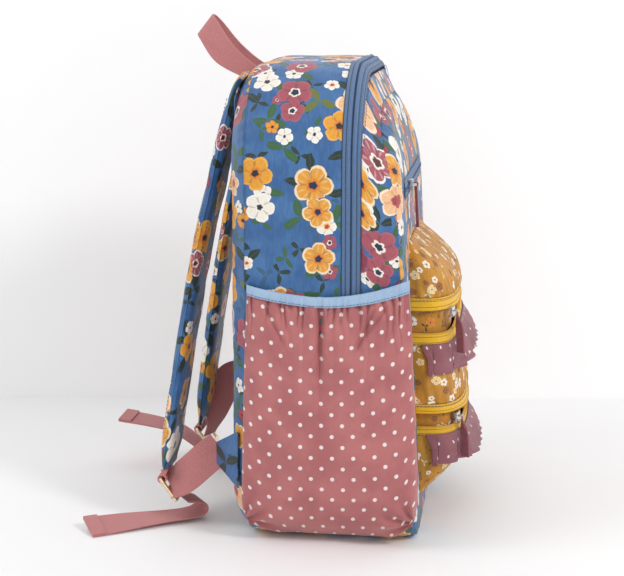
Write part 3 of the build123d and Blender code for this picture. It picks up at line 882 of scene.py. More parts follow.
# ------------------------------------------------------------------ the bag's form
@dataclass(frozen=True)
class BagForm:
    """The stuffed bag's sizes, and points on its surface."""

    half_width: float = 0.14
    height: float = 0.414
    low_corner: float = 0.046
    top_corner: float = 0.085
    back_seam_y: float = 0.064
    back_face_y: float = 0.078
    front_seam_y: float = -0.084
    lean: float = math.tan(math.radians(3.4))
    front_height: float = 0.397
    front_rise: float = 0.003
    slope_from_y: float = -0.024
    top_recess: float = 0.0125
    zip_y: float = -0.0275
    zip_half: float = 0.0085
    zip_end_z: float = 0.2

    @property
    def runs(self) -> Array:
        """Lengths of the outline's pieces, from the bottom centre up the left side to the top centre."""
        straight = self.half_width - self.low_corner, self.half_width - self.top_corner
        side = self.height - self.top_corner - self.low_corner
        quarter = math.pi / 2
        return np.array(
            [straight[0], self.low_corner * quarter, side, self.top_corner * quarter, straight[1]]
        )

    @property
    def half_round(self) -> float:
        """Length of half the outline."""
        return float(self.runs.sum())

    def outline(self, s: Array, inset: Array, high: Array) -> tuple[Array, Array, Array, Array]:
        """Points on the outline seen from the front.

        Args:
            s: Length from the bottom centre. Negative runs up the left side, positive up the right.
            inset: How far inside the seam line.
            high: Height of the top there.

        Returns:
            x, z and the outward direction's x and z.
        """
        run = np.concatenate([[0], np.cumsum(self.runs)])
        d = np.clip(np.abs(s), 0, run[-1])
        sign = np.where(s < 0, -1.0, 1.0)
        inset, high = np.broadcast_arrays(np.asarray(inset, float), np.asarray(high, float))
        part = np.clip(np.searchsorted(run, d, side="right") - 1, 0, 4)
        t = (d - run[part]) / self.runs[part]
        w, low, top = self.half_width, self.low_corner, self.top_corner
        a_low, a_top = t * math.pi / 2 - math.pi / 2, t * math.pi / 2
        x = np.choose(
            part,
            [
                t * (w - low),
                w - low + (low - inset) * np.cos(a_low),
                w - inset,
                w - top + (top - inset) * np.cos(a_top),
                (1 - t) * (w - top),
            ],
        )
        z = np.choose(
            part,
            [
                inset,
                low + (low - inset) * np.sin(a_low),
                low + t * (high - top - low),
                high - top + (top - inset) * np.sin(a_top),
                high - inset,
            ],
        )
        nx = np.choose(part, [0 * t, np.cos(a_low), 0 * t + 1, np.cos(a_top), 0 * t])
        nz = np.choose(part, [0 * t - 1, np.sin(a_low), 0 * t, np.sin(a_top), 0 * t + 1])
        return sign * x, z, sign * nx, nz

    def seam_y(self, z: Array) -> Array:
        """The front seam's depth at a height."""
        z = np.asarray(z, float)
        return self.front_seam_y + self.lean * z + self.top_recess * smooth(0.312, 0.4, z)

    def top_at(self, y: Array) -> Array:
        """The top's height at a depth."""
        front = self.seam_y(self.front_height)
        fall = smooth(self.slope_from_y, front - 0.008, y)
        return self.height + 0.0015 - (self.height - self.front_height + 0.0035) * fall

    def side_point(self, s: Array, y_share: Array, y_low: float | Array, y_high: float | None) -> Array:
        """Points on the band of cloth round the bag.

        Args:
            s: Length round the outline.
            y_share: 0 at y_low, 1 at y_high.
            y_low: Depth of the first edge.
            y_high: Depth of the second edge, or None for the front seam.

        Returns:
            Points.
        """
        x, z, _, nz = self.outline(s, 0.0, self.height)
        front = self.seam_y(z)
        end = front if y_high is None else y_high
        y = y_low + (end - y_low) * y_share
        from_back, from_front = self.back_seam_y - y, y - front
        inset = 0.0024 * bell(from_back, 0.007)
        inset = inset + 0.0028 * bell(from_front, 0.009)
        inset = inset + 0.013 * np.clip(nz, 0, 1) * (1 - np.clip(from_front / 0.024, 0, 1)) ** 2
        inset = inset - 0.0012 * np.sin(np.clip(from_back / (self.back_seam_y - front), 0, 1) * math.pi)
        puff = Ripple(5, 0.047).at(s + 9, y + 9) * 0.7 + Ripple(6, 0.019).at(s + 9, y + 9) * 0.3
        hold = smooth(0.0, 0.012, np.abs(y - self.zip_y) - self.zip_half)
        inset = inset + 0.001 * puff * hold
        pucker = np.sin(s * 2 * math.pi / 0.011 + 4 * Ripple(8, 0.03).at(s + 9, 0.0))
        near_seam = bell(from_back, 0.01) + bell(from_front, 0.01)
        near_zip = bell((np.abs(y - self.zip_y) - self.zip_half), 0.006)
        inset = inset + 0.0004 * pucker * (near_seam + near_zip * 0.7)
        x, z, _, _ = self.outline(s, inset, self.top_at(y))
        return np.stack([x, np.broadcast_to(y, x.shape), np.maximum(z, 0.0004)], -1)

    def length_at(self, z: float) -> float:
        """Length round the outline from the bottom centre to a height on the straight side."""
        return float(self.runs[:2].sum() + (z - self.low_corner))


FORM = BagForm()
SEWN_STEP = 0.0028


def round_places(low: float, high: float, step: float = SEWN_STEP) -> Array:
    """Evenly spaced places from low to high."""
    return np.linspace(low, high, max(2, int((high - low) / step) + 1))


def dress(obj: Piece, *finishes: Finish) -> Piece:
    """Give a piece its materials."""
    obj.data.materials.clear()
    for finish in finishes:
        obj.data.materials.append(finish)
    return obj


class Repeater:
    """Small parts set out at even steps along a line by a Geometry Nodes tree."""

    def __init__(self, name: str, finish: Finish, along: bool) -> None:
        """Build the tree.

        Args:
            name: The tree's name.
            finish: What the small parts are made of.
            along: Whether each part lies along the line, or in the direction given as Turn.
        """
        self.tree = bpy.data.node_groups.new(name, "GeometryNodeTree")
        face = self.tree.interface
        face.new_socket("Geometry", in_out="OUTPUT", socket_type="NodeSocketGeometry")
        face.new_socket("Line", in_out="INPUT", socket_type="NodeSocketGeometry")
        self.keys = {}
        for label, kind in (
            ("Pitch", "NodeSocketFloat"),
            ("Length", "NodeSocketFloat"),
            ("Radius", "NodeSocketFloat"),
            ("Turn", "NodeSocketVector"),
        ):
            self.keys[label] = face.new_socket(label, in_out="INPUT", socket_type=kind).identifier
        nodes, links = self.tree.nodes, self.tree.links
        given, made = nodes.new("NodeGroupInput"), nodes.new("NodeGroupOutput")
        curve = nodes.new("GeometryNodeMeshToCurve")
        spaced = nodes.new("GeometryNodeResampleCurve")
        spaced.mode = "LENGTH"
        rod = nodes.new("GeometryNodeMeshCylinder")
        rod.inputs["Vertices"].default_value = 6
        place = nodes.new("GeometryNodeInstanceOnPoints")
        real = nodes.new("GeometryNodeRealizeInstances")
        paint = nodes.new("GeometryNodeSetMaterial")
        paint.inputs["Material"].default_value = finish
        links.new(given.outputs["Line"], curve.inputs[0])
        links.new(curve.outputs[0], spaced.inputs["Curve"])
        links.new(given.outputs["Pitch"], spaced.inputs["Length"])
        links.new(given.outputs["Length"], rod.inputs["Depth"])
        links.new(given.outputs["Radius"], rod.inputs["Radius"])
        links.new(spaced.outputs[0], place.inputs["Points"])
        links.new(rod.outputs["Mesh"], place.inputs["Instance"])
        if along:
            tangent = nodes.new("GeometryNodeInputTangent")
            align = nodes.new("FunctionNodeAlignRotationToVector")
            align.axis = "Z"
            links.new(tangent.outputs[0], align.inputs["Vector"])
            links.new(align.outputs[0], place.inputs["Rotation"])
        else:
            links.new(given.outputs["Turn"], place.inputs["Rotation"])
        links.new(place.outputs[0], real.inputs[0])
        links.new(real.outputs[0], paint.inputs["Geometry"])
        links.new(paint.outputs[0], made.inputs[0])
        self.finish = finish

    def run(
        self,
        name: str,
        lines: Sequence[Array],
        pitch: float,
        length: float,
        radius: float,
        turn: Triple = (0.0, 0.0, 0.0),
    ) -> Piece:
        """Set the parts out along some lines.

        Args:
            name: The piece's name.
            lines: Points along each line.
            pitch: Step from one part to the next.
            length: Each part's length.
            radius: Each part's radius.
            turn: Each part's direction where it doesn't follow the line.

        Returns:
            A plain mesh.
        """
        points, edges = [], []
        for line in lines:
            first = len(points)
            points.extend(np.asarray(line, float).tolist())
            edges.extend([(k, k + 1) for k in range(first, len(points) - 1)])
        mesh = bpy.data.meshes.new(name)
        mesh.from_pydata(points, edges, [])
        obj = link(name, mesh)
        modifier = obj.modifiers.new("set_out", "NODES")
        modifier.node_group = self.tree
        modifier[self.keys["Pitch"]] = pitch
        modifier[self.keys["Length"]] = length
        modifier[self.keys["Radius"]] = radius
        modifier[self.keys["Turn"]] = turn
        bake(obj)
        dress(obj, self.finish)
        return shade_smooth(obj, SMOOTH_EDGE)


@dataclass(frozen=True)
class Materials:
    """Every finish, made once."""

    blue: Finish
    lining: Finish
    mustard: Finish
    dots: Finish
    ruffle: Finish
    binding: Finish
    blue_tape: Finish
    yellow_tape: Finish
    webbing: Finish
    ribbon: Finish
    leather: Finish
    gold: Finish
    antique: Finish
    steel: Finish
    thread: Finish
    blue_coil: Finish
    yellow_coil: Finish

    @classmethod
    def make(cls) -> "Materials":
        """Build them."""
        rose, rose_deep, peach = (0.37, 0.075, 0.105), (0.24, 0.03, 0.06), (0.85, 0.48, 0.25)
        amber, orange, white = (0.76, 0.33, 0.025), (0.7, 0.2, 0.025), (0.86, 0.8, 0.7)
        navy, wine, black = (0.008, 0.018, 0.06), (0.1, 0.012, 0.02), (0.012, 0.012, 0.015)
        leaf, leaf_dark, moss = (0.035, 0.12, 0.045), (0.01, 0.03, 0.024), (0.14, 0.17, 0.03)
        large = FlowerBed(
            0.037, (2.217, 1.573, 0.0), 0.29, 0.49, 5, 0.9,
            (
                (0.0, rose), (0.08, rose), (0.17, amber), (0.46, white), (0.62, peach), (0.73, rose_deep),
                (0.78, amber),
            ),
            (
                (0.0, (0.9, 0.84, 0.8)), (0.08, (0.42, 0.1, 0.13)), (0.17, (0.84, 0.42, 0.06)),
                (0.46, (0.9, 0.88, 0.84)), (0.62, (0.92, 0.74, 0.56)), (0.73, (0.32, 0.06, 0.09)),
                (0.78, (0.9, 0.72, 0.48)),
            ),
            (
                (0.0, wine), (0.08, navy), (0.17, black), (0.46, navy), (0.62, (0.4, 0.05, 0.04)),
                (0.73, navy), (0.78, navy),
            ),
            (
                (0.0, white), (0.08, white), (0.17, orange), (0.46, white), (0.62, rose), (0.73, white),
                (0.78, orange),
            ),
        )
        small = FlowerBed(
            0.023, (1.217, 1.109, 0.0), 0.22, 0.4, 5, 0.42,
            ((0.0, white), (0.34, (0.45, 0.03, 0.04)), (0.54, amber), (0.72, white), (0.86, rose)),
            (
                (0.0, (0.92, 0.9, 0.87)), (0.34, (0.012, 0.06, 0.17)), (0.54, orange),
                (0.72, (0.92, 0.9, 0.87)), (0.86, rose),
            ),
            ((0.0, navy), (0.34, navy), (0.54, black), (0.72, (0.45, 0.03, 0.04)), (0.86, navy)),
            ((0.0, white), (0.34, (0.45, 0.03, 0.04)), (0.54, orange), (0.72, amber), (0.86, white)),
        )
        leaves = LeafBed(
            0.03, (1.331, 1.071, 0.0), 0.92, ((0.0, leaf), (0.36, leaf_dark), (0.7, moss), (0.8, leaf))
        )
        sprigs = LeafBed(
            0.021, (1.717, 1.371, 0.0), 0.5, (
                (0.0, leaf_dark), (0.45, leaf), (0.75, (0.03, 0.1, 0.2))
            ), 0.26, 0.09
        )
        blooms = FlowerBed(
            0.012, (1.113, 1.017, 0.0), 0.22, 0.44, 5, 0.8,
            ((0.0, white), (0.38, (0.3, 0.1, 0.02)), (0.6, orange), (0.8, (0.9, 0.62, 0.2))),
            ((0.0, (0.93, 0.9, 0.82)), (0.38, (0.5, 0.22, 0.05)), (0.6, amber), (0.8, white)),
            (
                (0.0, (0.35, 0.12, 0.02)), (0.38, black), (0.6, (0.14, 0.03, 0.01)),
                (0.8, (0.4, 0.12, 0.02)),
            ),
            ((0.0, amber), (0.38, (0.5, 0.22, 0.05)), (0.6, amber), (0.8, white)),
        )
        twigs = LeafBed(
            0.0115, (1.351, 1.171, 0.0), 0.45, (
                (0.0, (0.35, 0.15, 0.03)), (0.45, (0.1, 0.045, 0.015)), (0.75, (0.75, 0.62, 0.4))
            ), 0.2, 0.07
        )
        return cls(
            blue=PrintedCloth(
                "Blue_flowered_satin", (0.028, 0.108, 0.29), (0.062, 0.185, 0.4),
                (sprigs, leaves, small, large), 0.42, 0.12,
            ).make(),
            lining=PlainCloth("Brown_grey_lining", (0.3, 0.25, 0.2), (0.16, 0.12, 0.09), 0.8).make(),
            mustard=PrintedCloth(
                "Mustard_flowered_cotton", (0.47, 0.205, 0.015), (0.62, 0.29, 0.03),
                (twigs, blooms), 0.62, 0.2, brush=0.0008,
            ).make(),
            dots=DottedCloth(
                "Rose_dotted_cotton", (0.5, 0.165, 0.16), (0.335, 0.09, 0.1), 0.019, 0.01, 0.0036
            ).make(),
            ruffle=DottedCloth(
                "Mauve_dotted_cotton", (0.3, 0.1, 0.12), (0.19, 0.05, 0.07), 0.021, 0.0125, 0.0028
            ).make(),
            binding=PlainCloth(
                "Light_blue_binding", (0.34, 0.47, 0.64), (0.21, 0.33, 0.5), 0.6, stitched=True
            ).make(),
            blue_tape=WovenStrip(
                "Slate_blue_zip_tape", (0.11, 0.205, 0.38), (0.035, 0.075, 0.17),
                Weave.TAPE, 0.0011, 0.017, lines=(0.0047, 0.0078),
            ).make(),
            yellow_tape=WovenStrip(
                "Yellow_zip_tape", (0.95, 0.56, 0.015), (0.62, 0.27, 0.005), Weave.TAPE, 0.001, 0.03,
                lines=(0.004, 0.0104), line_colour=(0.33, 0.13, 0.01),
            ).make(),
            webbing=WovenStrip(
                "Rose_herringbone_webbing", (0.62, 0.235, 0.235), (0.36, 0.105, 0.11),
                Weave.HERRINGBONE, 0.0021, 0.03,
            ).make(),
            ribbon=WovenStrip(
                "Mauve_ribbed_ribbon", (0.34, 0.105, 0.135), (0.17, 0.04, 0.06), Weave.RIBBED, 0.0012,
                0.009,
            ).make(),
            leather=PlainCloth("Burgundy_leather", (0.21, 0.035, 0.045), (0.09, 0.012, 0.018), 0.42).make(),
            gold=Metal("Light_gold_plate", (0.86, 0.7, 0.47), (0.5, 0.36, 0.2), 0.22, 0.5).make(),
            antique=Metal("Antique_plate", (0.42, 0.36, 0.28), (0.13, 0.1, 0.08), 0.3, 0.7).make(),
            steel=Metal("Bright_nickel", (0.72, 0.71, 0.69), (0.35, 0.33, 0.31), 0.22, 0.4).make(),
            thread=PlainCloth("Navy_thread", (0.045, 0.085, 0.2), (0.02, 0.04, 0.1), 0.7).make(),
            blue_coil=PlainCloth("Blue_coil", (0.06, 0.11, 0.24), (0.03, 0.05, 0.12), 0.45).make(),
            yellow_coil=PlainCloth("Yellow_coil", (0.7, 0.36, 0.02), (0.38, 0.15, 0.01), 0.45).make(),
        )


# ------------------------------------------------------------------ main compartment
@dataclass
class Shell:
    """The sewn shell: band of cloth, front, padded back, base, lining and inner sleeve."""

    form: BagForm
    kit: Materials
    cloth: float = 0.0024
    back_rise: float = 0.0142
    fold_low: Triple = (0.0, -0.075, 0.252)
    fold_high: Triple = (0.0, -0.075, 0.276)

    def band(
        self, name: str, s: Array, y_low: float | Array, y_high: float | None, steps: int, shift: float
    ) -> Piece:
        """A band of the gusset between two depths.

        Args:
            name: The piece's name.
            s: Places round the outline.
            y_low: Depth of its first edge, at each place if an array.
            y_high: Depth of its second edge, or None for the front seam.
            steps: Rows across it.
            shift: Where its print starts.

        Returns:
            The piece, with its thickness.
        """
        share = np.linspace(0, 1, steps)[:, None]
        points = self.form.side_point(s[None, :], share, y_low, y_high)
        uv = np.stack(
            [
                np.broadcast_to(-points[..., 1], points.shape[:2]) + shift,
                np.broadcast_to(s[None, :], points.shape[:2]),
            ],
            -1,
        )
        obj = grid(name, points, uv, away=(0, 0, 0.2))
        return thicken(dress(obj, self.kit.blue, self.kit.lining), self.cloth, lined=True)

    def gusset(self) -> None:
        """The rear band, the front band across the flap's fold, and the base."""
        f = self.form
        base = f.length_at(0.032)
        end = f.length_at(f.zip_end_z)
        full = round_places(base, 2 * f.half_round - base)
        s = np.where(full > f.half_round, 2 * f.half_round - full, -full)
        from_end = np.abs(s) - end
        rear_edge = f.zip_y + f.zip_half * smooth(-0.004, 0.0, from_end)
        rear = self.band("gusset_rear", s, rear_edge[None, :], f.back_seam_y, 34, 0.4)
        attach(rear, "bag")
        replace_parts(rear, "rear_gusset")
        front_edge = f.zip_y - f.zip_half * smooth(-0.004, 0.0, from_end) - 0.0002
        front = self.band("gusset_front", s, front_edge[None, :], None, 20, 0.4)
        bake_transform(front)
        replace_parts(front, "lower_gusset_left", "lower_gusset_right", "flap_gusset")
        under = round_places(-f.length_at(0.032), f.length_at(0.032))
        base_panel = self.band("base_panel_cloth", under, f.back_seam_y, None, 50, 0.11)
        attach(base_panel, "bag")
        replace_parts(base_panel, "base_panel")

    def face(self, name: str, front: bool) -> Piece:
        """The front or the back, as rings of cloth from its seam to its middle."""
        f = self.form
        s = round_places(-f.half_round, f.half_round)[:-1]
        rings = np.concatenate([np.linspace(0, 0.16, 13)[:-1], np.linspace(0.16, 1, 34)])[:, None]
        start, end = (f.back_seam_y, None) if front else (f.zip_y, f.back_seam_y)
        rim = f.side_point(s[None, :], np.array([[1.0]]), start, end)[0]
        middle_z = np.clip(rim[:, 2], 0.11, 0.315)
        x = rim[None, :, 0] * (1 - rings)
        z = rim[None, :, 2] * (1 - rings) + middle_z[None, :] * rings
        deep = np.hypot(rim[None, :, 0] - x, rim[None, :, 2] - z)
        puff = Ripple(21, 0.05).at(x + 9, z + 9) * 0.7 + Ripple(22, 0.021).at(x + 9, z + 9) * 0.3
        pucker = np.sin(s[None, :] * 2 * math.pi / 0.012) * bell(deep, 0.01)
        if front:
            crown = 1 - (1 - np.clip(deep / 0.016, 0, 1)) ** 2
            flat = f.seam_y(z) - f.front_rise * crown * smooth(0.405, 0.34, z)
            y = flat + 0.0007 * (puff + 0.3) * smooth(0.004, 0.03, deep) + 0.0004 * pucker
            y = y + (rim[None, :, 1] - f.seam_y(rim[None, :, 2])) * (1 - crown)
        else:
            crown = 1 - (1 - np.clip(deep / 0.03, 0, 1)) ** 2
            seam = bell((np.abs(x) - 0.046), 0.0022) * smooth(0.05, 0.062, z) * smooth(0.352, 0.34, z)
            low = bell(z - 0.055, 0.0022) + bell(z - 0.347, 0.0022)
            seam = np.maximum(seam, low * smooth(0.112, 0.1, np.abs(x)))
            y = f.back_seam_y + self.back_rise * crown + 0.0012 * puff * smooth(0.01, 0.04, deep)
            pad = smooth(0.0, 0.02, deep - 0.014) * 0.002
            y = y + pad - 0.0032 * seam + 0.0005 * pucker
            top = smooth(0.352, 0.372, z) * smooth(0.1, 0.085, np.abs(x))
            y = np.minimum(y, f.back_face_y - 0.0002 + (1 - top) * 0.01)
        points = together(x, y, z)
        uv = together(x * (1 if front else -1) + (0.71 if front else 1.9), z)
        obj = grid(name, points, uv, closed=True, away=(0, 0, 0.2))
        return thicken(dress(obj, self.kit.blue, self.kit.lining), self.cloth, lined=True)

    def faces(self) -> None:
        """The front, which covers the flap's panel too, and the padded back."""
        front = self.face("front_panel_cloth", True)
        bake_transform(front)
        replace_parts(front, "lower_front_panel", "flap_panel")
        back = self.face("back_panel_padded", False)
        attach(back, "bag")
        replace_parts(back, "back_panel", "back_foam")

    def inside(self) -> None:
        """The lining behind the back pad and the flat sleeve sewn on it."""
        low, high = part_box("back_lining")
        columns = round_places(low.x, high.x, 0.006)
        shares = np.linspace(0, 1, 60)[:, None]
        reach = np.abs(columns) - (self.form.half_width - self.form.top_corner)
        radius = self.form.top_corner - (self.form.half_width - high.x)
        fall = radius - np.sqrt(np.clip(radius**2 - np.clip(reach, 0, radius) ** 2, 0, None))
        z = low.z + 0.004 + (high.z - low.z - 0.004 - fall[None, :]) * shares
        x = np.broadcast_to(columns[None, :], z.shape)
        y = high.y - 0.0008 * (1 + Ripple(31, 0.04).at(x + 9, z + 9))
        lining = grid(
            "back_lining_cloth", np.stack([x, y, z], -1), np.stack([x, z], -1), away=(0, 0.2, 0.2)
        )
        dress(thicken(lining, 0.0008), self.kit.lining)
        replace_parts(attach(lining, "bag"), "back_lining")
        low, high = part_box("inner_sleeve")
        turn = np.linspace(0, 1, 90)[None, :]
        rows = round_places(low.z + 0.002, high.z, 0.006)[:, None]
        angle = turn * math.pi
        x = -signed_power(np.cos(angle), 0.3) * (high.x - 0.001)
        y = high.y - (high.y - low.y) * np.abs(np.sin(angle)) ** 0.6 * 0.97
        y = y + 0.0012 * Ripple(33, 0.05).at(x + 9, rows + 9)
        x, y, z = np.broadcast_arrays(x, y, rows)
        sleeve = grid(
            "inner_sleeve_cloth", np.stack([x, y, z], -1), np.stack([x, z], -1), away=(0, 0.2, 0.1)
        )
        dress(thicken(sleeve, 0.001), self.kit.lining)
        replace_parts(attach(sleeve, "bag"), "inner_sleeve")

    def build(self) -> None:
        """Make every piece of the shell."""
        self.gusset()
        self.faces()
        self.inside()


# ------------------------------------------------------------------ main zip
@dataclass
class MainZip:
    """The long zip round the arch: two tape halves, the coil and the seams beside it."""

    form: BagForm
    kit: Materials
    ridge: float = 0.0026
    pitch: float = 0.0017

    def places(self) -> Array:
        """Signed places round the outline from one end of the zip to the other."""
        f = self.form
        end = f.length_at(f.zip_end_z)
        full = round_places(end, 2 * f.half_round - end, 0.003)
        return np.where(full > f.half_round, 2 * f.half_round - full, -full)

    def line(self, across: float, lift: float) -> Array:
        """Points along the zip, across from its middle and lifted off the cloth."""
        f, s = self.form, self.places()
        y = f.zip_y + across
        x, z, _, _ = f.outline(s, -lift, f.top_at(y))
        return np.stack([x, np.full(x.shape, y), z], -1)

    def half(self, name: str, side: float) -> Piece:
        """One half of the tape, towards the back if side is 1."""
        profile = [
            (0.0003, -0.0016), (0.0005, 0.0006), (0.0012, 0.0018), (0.0025, self.ridge), (0.0038, 0.0019),
            (0.0046, 0.0006), (0.0055, 0.0012), (0.0068, 0.0015), (0.008, 0.0009), (0.0088, -0.0012),
        ]
        rows = [self.line(side * a, h) for a, h in profile]
        s = np.abs(self.places())
        full = np.cumsum(np.abs(np.diff(s, prepend=s[0])))
        across = np.array([a for a, _ in profile])
        uv = together(across[:, None], full[None, :])
        obj = grid(name, np.stack(rows), uv, away=(0, self.form.zip_y, 0.2))
        dress(thicken(obj, 0.001), self.kit.blue_tape)
        return obj

    def build(self, coil: Repeater, stitch: Repeater) -> None:
        """Make the zip and its stitching."""
        rear = self.half("main_zip_rear_half", 1.0)
        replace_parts(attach(rear, "bag"), "main_zip_tape_rear")
        front = self.half("main_zip_front_half", -1.0)
        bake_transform(front)
        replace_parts(front, "main_zip_tape_lower", "main_zip_tape_flap")
        for side, label, nodes in (
            (1.0, "rear", ["main_zip_chain_rear"]),
            (-1.0, "front", ["main_zip_chain_lower", "main_zip_chain_flap"]),
        ):
            teeth = coil.run(
                f"main_zip_coil_{label}", [self.line(side * 0.0009, 0.0009)], self.pitch, 0.0014, 0.00055,
                (math.pi / 2, 0.0, 0.0),
            )
            seam = stitch.run(
                f"main_zip_stitches_{label}", [self.line(side * 0.0102, 0.0002)], 0.0034, 0.0022, 0.00028
            )
            for piece in (teeth, seam):
                if side > 0:
                    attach(piece, "bag")
                else:
                    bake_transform(piece)
            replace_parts(teeth, *nodes)


# ------------------------------------------------------------------ side pockets
@dataclass
class SidePocket:
    """One side pocket: gathered dotted cloth with a central pleat, under a folded binding."""

    form: BagForm
    kit: Materials
    side: float
    label: str
    pleat: float = 0.455
    cloth_run: float = 0.15

    def hem(self, u: Array) -> Array:
        """Height of the cloth's top edge, which sags between its ends."""
        return along_curve(
            u, [(0.0, 0.224), (0.25, 0.218), (0.48, 0.2155), (0.75, 0.2195), (1.0, 0.229)]
        )

    def foot(self, u: Array) -> Array:
        """Height of the lower edge."""
        return along_curve(
            u,
            [(0.0, 0.016), (0.12, 0.005), (0.45, 0.0035), (0.8, 0.0055), (0.93, 0.01), (1.0, 0.025)],
        )

    def points(self, u: Array, v: Array, out: float = 0.0, relief: float = 1.0) -> Array:
        """Points on the pocket's outer face.

        Args:
            u: 0 at the back seam, 1 at the front seam.
            v: 0 at the bottom, 1 at the top edge.
            out: Extra distance out from the face.
            relief: How much of the gathers and creases show.

        Returns:
            Points, on the pocket's own side of the bag.
        """
        top, low = self.hem(u), self.foot(u)
        z = low + (top - low) * v
        corner = self.form.low_corner
        body_x = self.form.half_width - corner + np.sqrt(
            np.clip(corner**2 - np.clip(corner - z, 0, corner) ** 2, 0, None)
        )
        reach = along_curve(
            z,
            [
                (0.0, 0.102), (0.005, 0.12), (0.012, 0.1315), (0.022, 0.1405), (0.04, 0.148),
                (0.065, 0.1508), (0.11, 0.1512), (0.16, 0.1502), (0.195, 0.1482), (0.235, 0.1462),
            ],
        )
        across = 2 * u - 1
        fat = np.sqrt(np.clip(1 - np.abs(across) ** 7, 0, None))
        back = along_curve(
            z,
            [
                (0.0, 0.058), (0.028, 0.0668), (0.06, 0.0672), (0.105, 0.066), (0.15, 0.065),
                (0.194, 0.0632), (0.235, 0.0612),
            ],
        )
        ahead = along_curve(
            z,
            [
                (0.0, -0.0765), (0.022, -0.0825), (0.035, -0.085), (0.066, -0.086), (0.111, -0.0838),
                (0.155, -0.0815), (0.198, -0.0795), (0.238, -0.0765),
            ],
        )
        middle, half = (back + ahead) / 2, (back - ahead) / 2
        y = middle - half * across
        run = u * self.cloth_run
        below = top - z
        swell = Ripple(41, 0.008).at(run + 3, 0.0)
        wave = run * math.pi / 0.0094 + 1.9 * swell + 0.5 * np.sin(below * 160 + run * 210)
        gather = np.abs(np.sin(wave)) ** 0.8 - 0.62 + Ripple(42, 0.0042).at(run + 3, 0.0) * 0.25
        reach_down = 0.018 + 0.01 * Ripple(45, 0.01).at(run + 3, 0.0)
        depth = 0.0054 * gather * np.exp(-below / reach_down) * smooth(0, 0.03, u) * smooth(1, 0.97, u)
        depth = depth - 0.0016 * np.exp(-below / 0.006)
        fold = (u - self.pleat) * self.cloth_run
        tail = smooth(0.15, 0.045, below) * 0.25 + smooth(0.055, 0.004, below) * 0.75
        depth = depth - 0.0062 * bell(fold, 0.0026) * smooth(0.085, 0.008, below)
        depth = depth + 0.003 * bell(fold - 0.007, 0.0042) * tail
        depth = depth + 0.0018 * bell(fold + 0.007, 0.0042) * tail
        depth = depth - 0.0013 * bell(fold, 0.0016) * smooth(0.17, 0.03, below)
        for start, lean, size in (
            (0.1, 0.55, 0.0034), (0.8, -0.5, 0.0038), (0.9, -0.95, 0.003), (0.22, 0.25, 0.0022)
        ):
            line = (u - start) * self.cloth_run - lean * below
            held = smooth(0.002, 0.012, below) * smooth(0.055, 0.02, below)
            depth = depth - size * bell(line, 0.0028) * held
        depth = depth + 0.0019 * Ripple(43, 0.036).at(run + 3, z * 0.7 + 3)
        depth = depth + 0.0006 * Ripple(44, 0.015).at(run + 3, z * 0.6 + 3)
        for end, centre in ((0.0, 0.02), (1.0, 0.024)):
            aside = (u - end) * self.cloth_run
            away = np.hypot(aside, z - centre)
            ray = np.arctan2(z - centre, np.abs(aside) + 1e-4)
            depth = depth + 0.0026 * np.sin(ray * 9 + end * 2) * bell(away - 0.016, 0.016)
        x = body_x - 0.0006 + (reach - body_x + 0.0006) * fat + (depth * relief) * smooth(0, 0.5, fat) + out
        x = np.maximum(x, body_x - 0.0006 + 0.0022 * smooth(0, 0.3, fat))
        return together(self.side * x, y, z)

    def build(self, stitch: Repeater) -> None:
        """Make the pocket, its binding and its stitching."""
        u = (1 - np.cos(np.linspace(0, math.pi, 231))) / 2 * 0.55 + np.linspace(0, 1, 231) * 0.45
        v = np.concatenate(
            [np.linspace(0, 0.1, 16)[:-1], np.linspace(0.1, 0.8, 66)[:-1], np.linspace(0.8, 1, 40)]
        )[:, None]
        points = self.points(u[None, :], v)
        run = lengths(self.points(u, np.full(u.shape, 0.55), 0.0, 0.0))
        flat = together(run[None, :] * 1.06 + (0.3 if self.side < 0 else 0.8), v * 0.222 + 1.0)
        pocket = grid(f"side_pocket_cloth_{self.label}", points, flat, away=(0, 0, 0.1))
        dress(thicken(pocket, 0.0014), self.kit.dots)
        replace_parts(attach(pocket, "bag"), f"side_pocket_{self.label}")
        height = along_curve(u, [(0.0, 0.0078), (0.5, 0.0082), (1.0, 0.0098)])
        profile = [
            (-0.1, 0.0006), (-0.04, 0.0016), (0.2, 0.002), (0.8, 0.002), (1.0, 0.0012), (1.06, 0.0),
            (1.0, -0.0014), (0.7, -0.002), (0.1, -0.002), (-0.06, -0.0012),
        ]
        rings = []
        edge = self.points(u, np.ones_like(u), 0.0, 0.15)
        for share, out in profile:
            ring = edge.copy()
            ring[:, 2] += height * share
            ring[:, 0] += self.side * out
            rings.append(ring)
        points = np.stack(rings, 1)
        run = lengths(edge)
        run = np.concatenate([run[:1], run, run[-1:]])
        across = np.array([share * 0.0085 + 0.0009 for share, _ in profile])
        uv = together(run[:, None], across[None, :])
        binding = grid(
            f"side_binding_cloth_{self.label}", capped(points), uv, closed=True, away=(0, 0, 0.22)
        )
        outwards(binding)
        dress(binding, self.kit.binding)
        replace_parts(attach(binding, "bag"), f"side_binding_{self.label}")
        seam = edge.copy()
        seam[:, 2] += 0.001
        seam[:, 0] += self.side * 0.0019
        thread = stitch.run(f"side_binding_stitches_{self.label}", [seam[4:-4]], 0.003, 0.002, 0.00022)
        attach(thread, "bag")


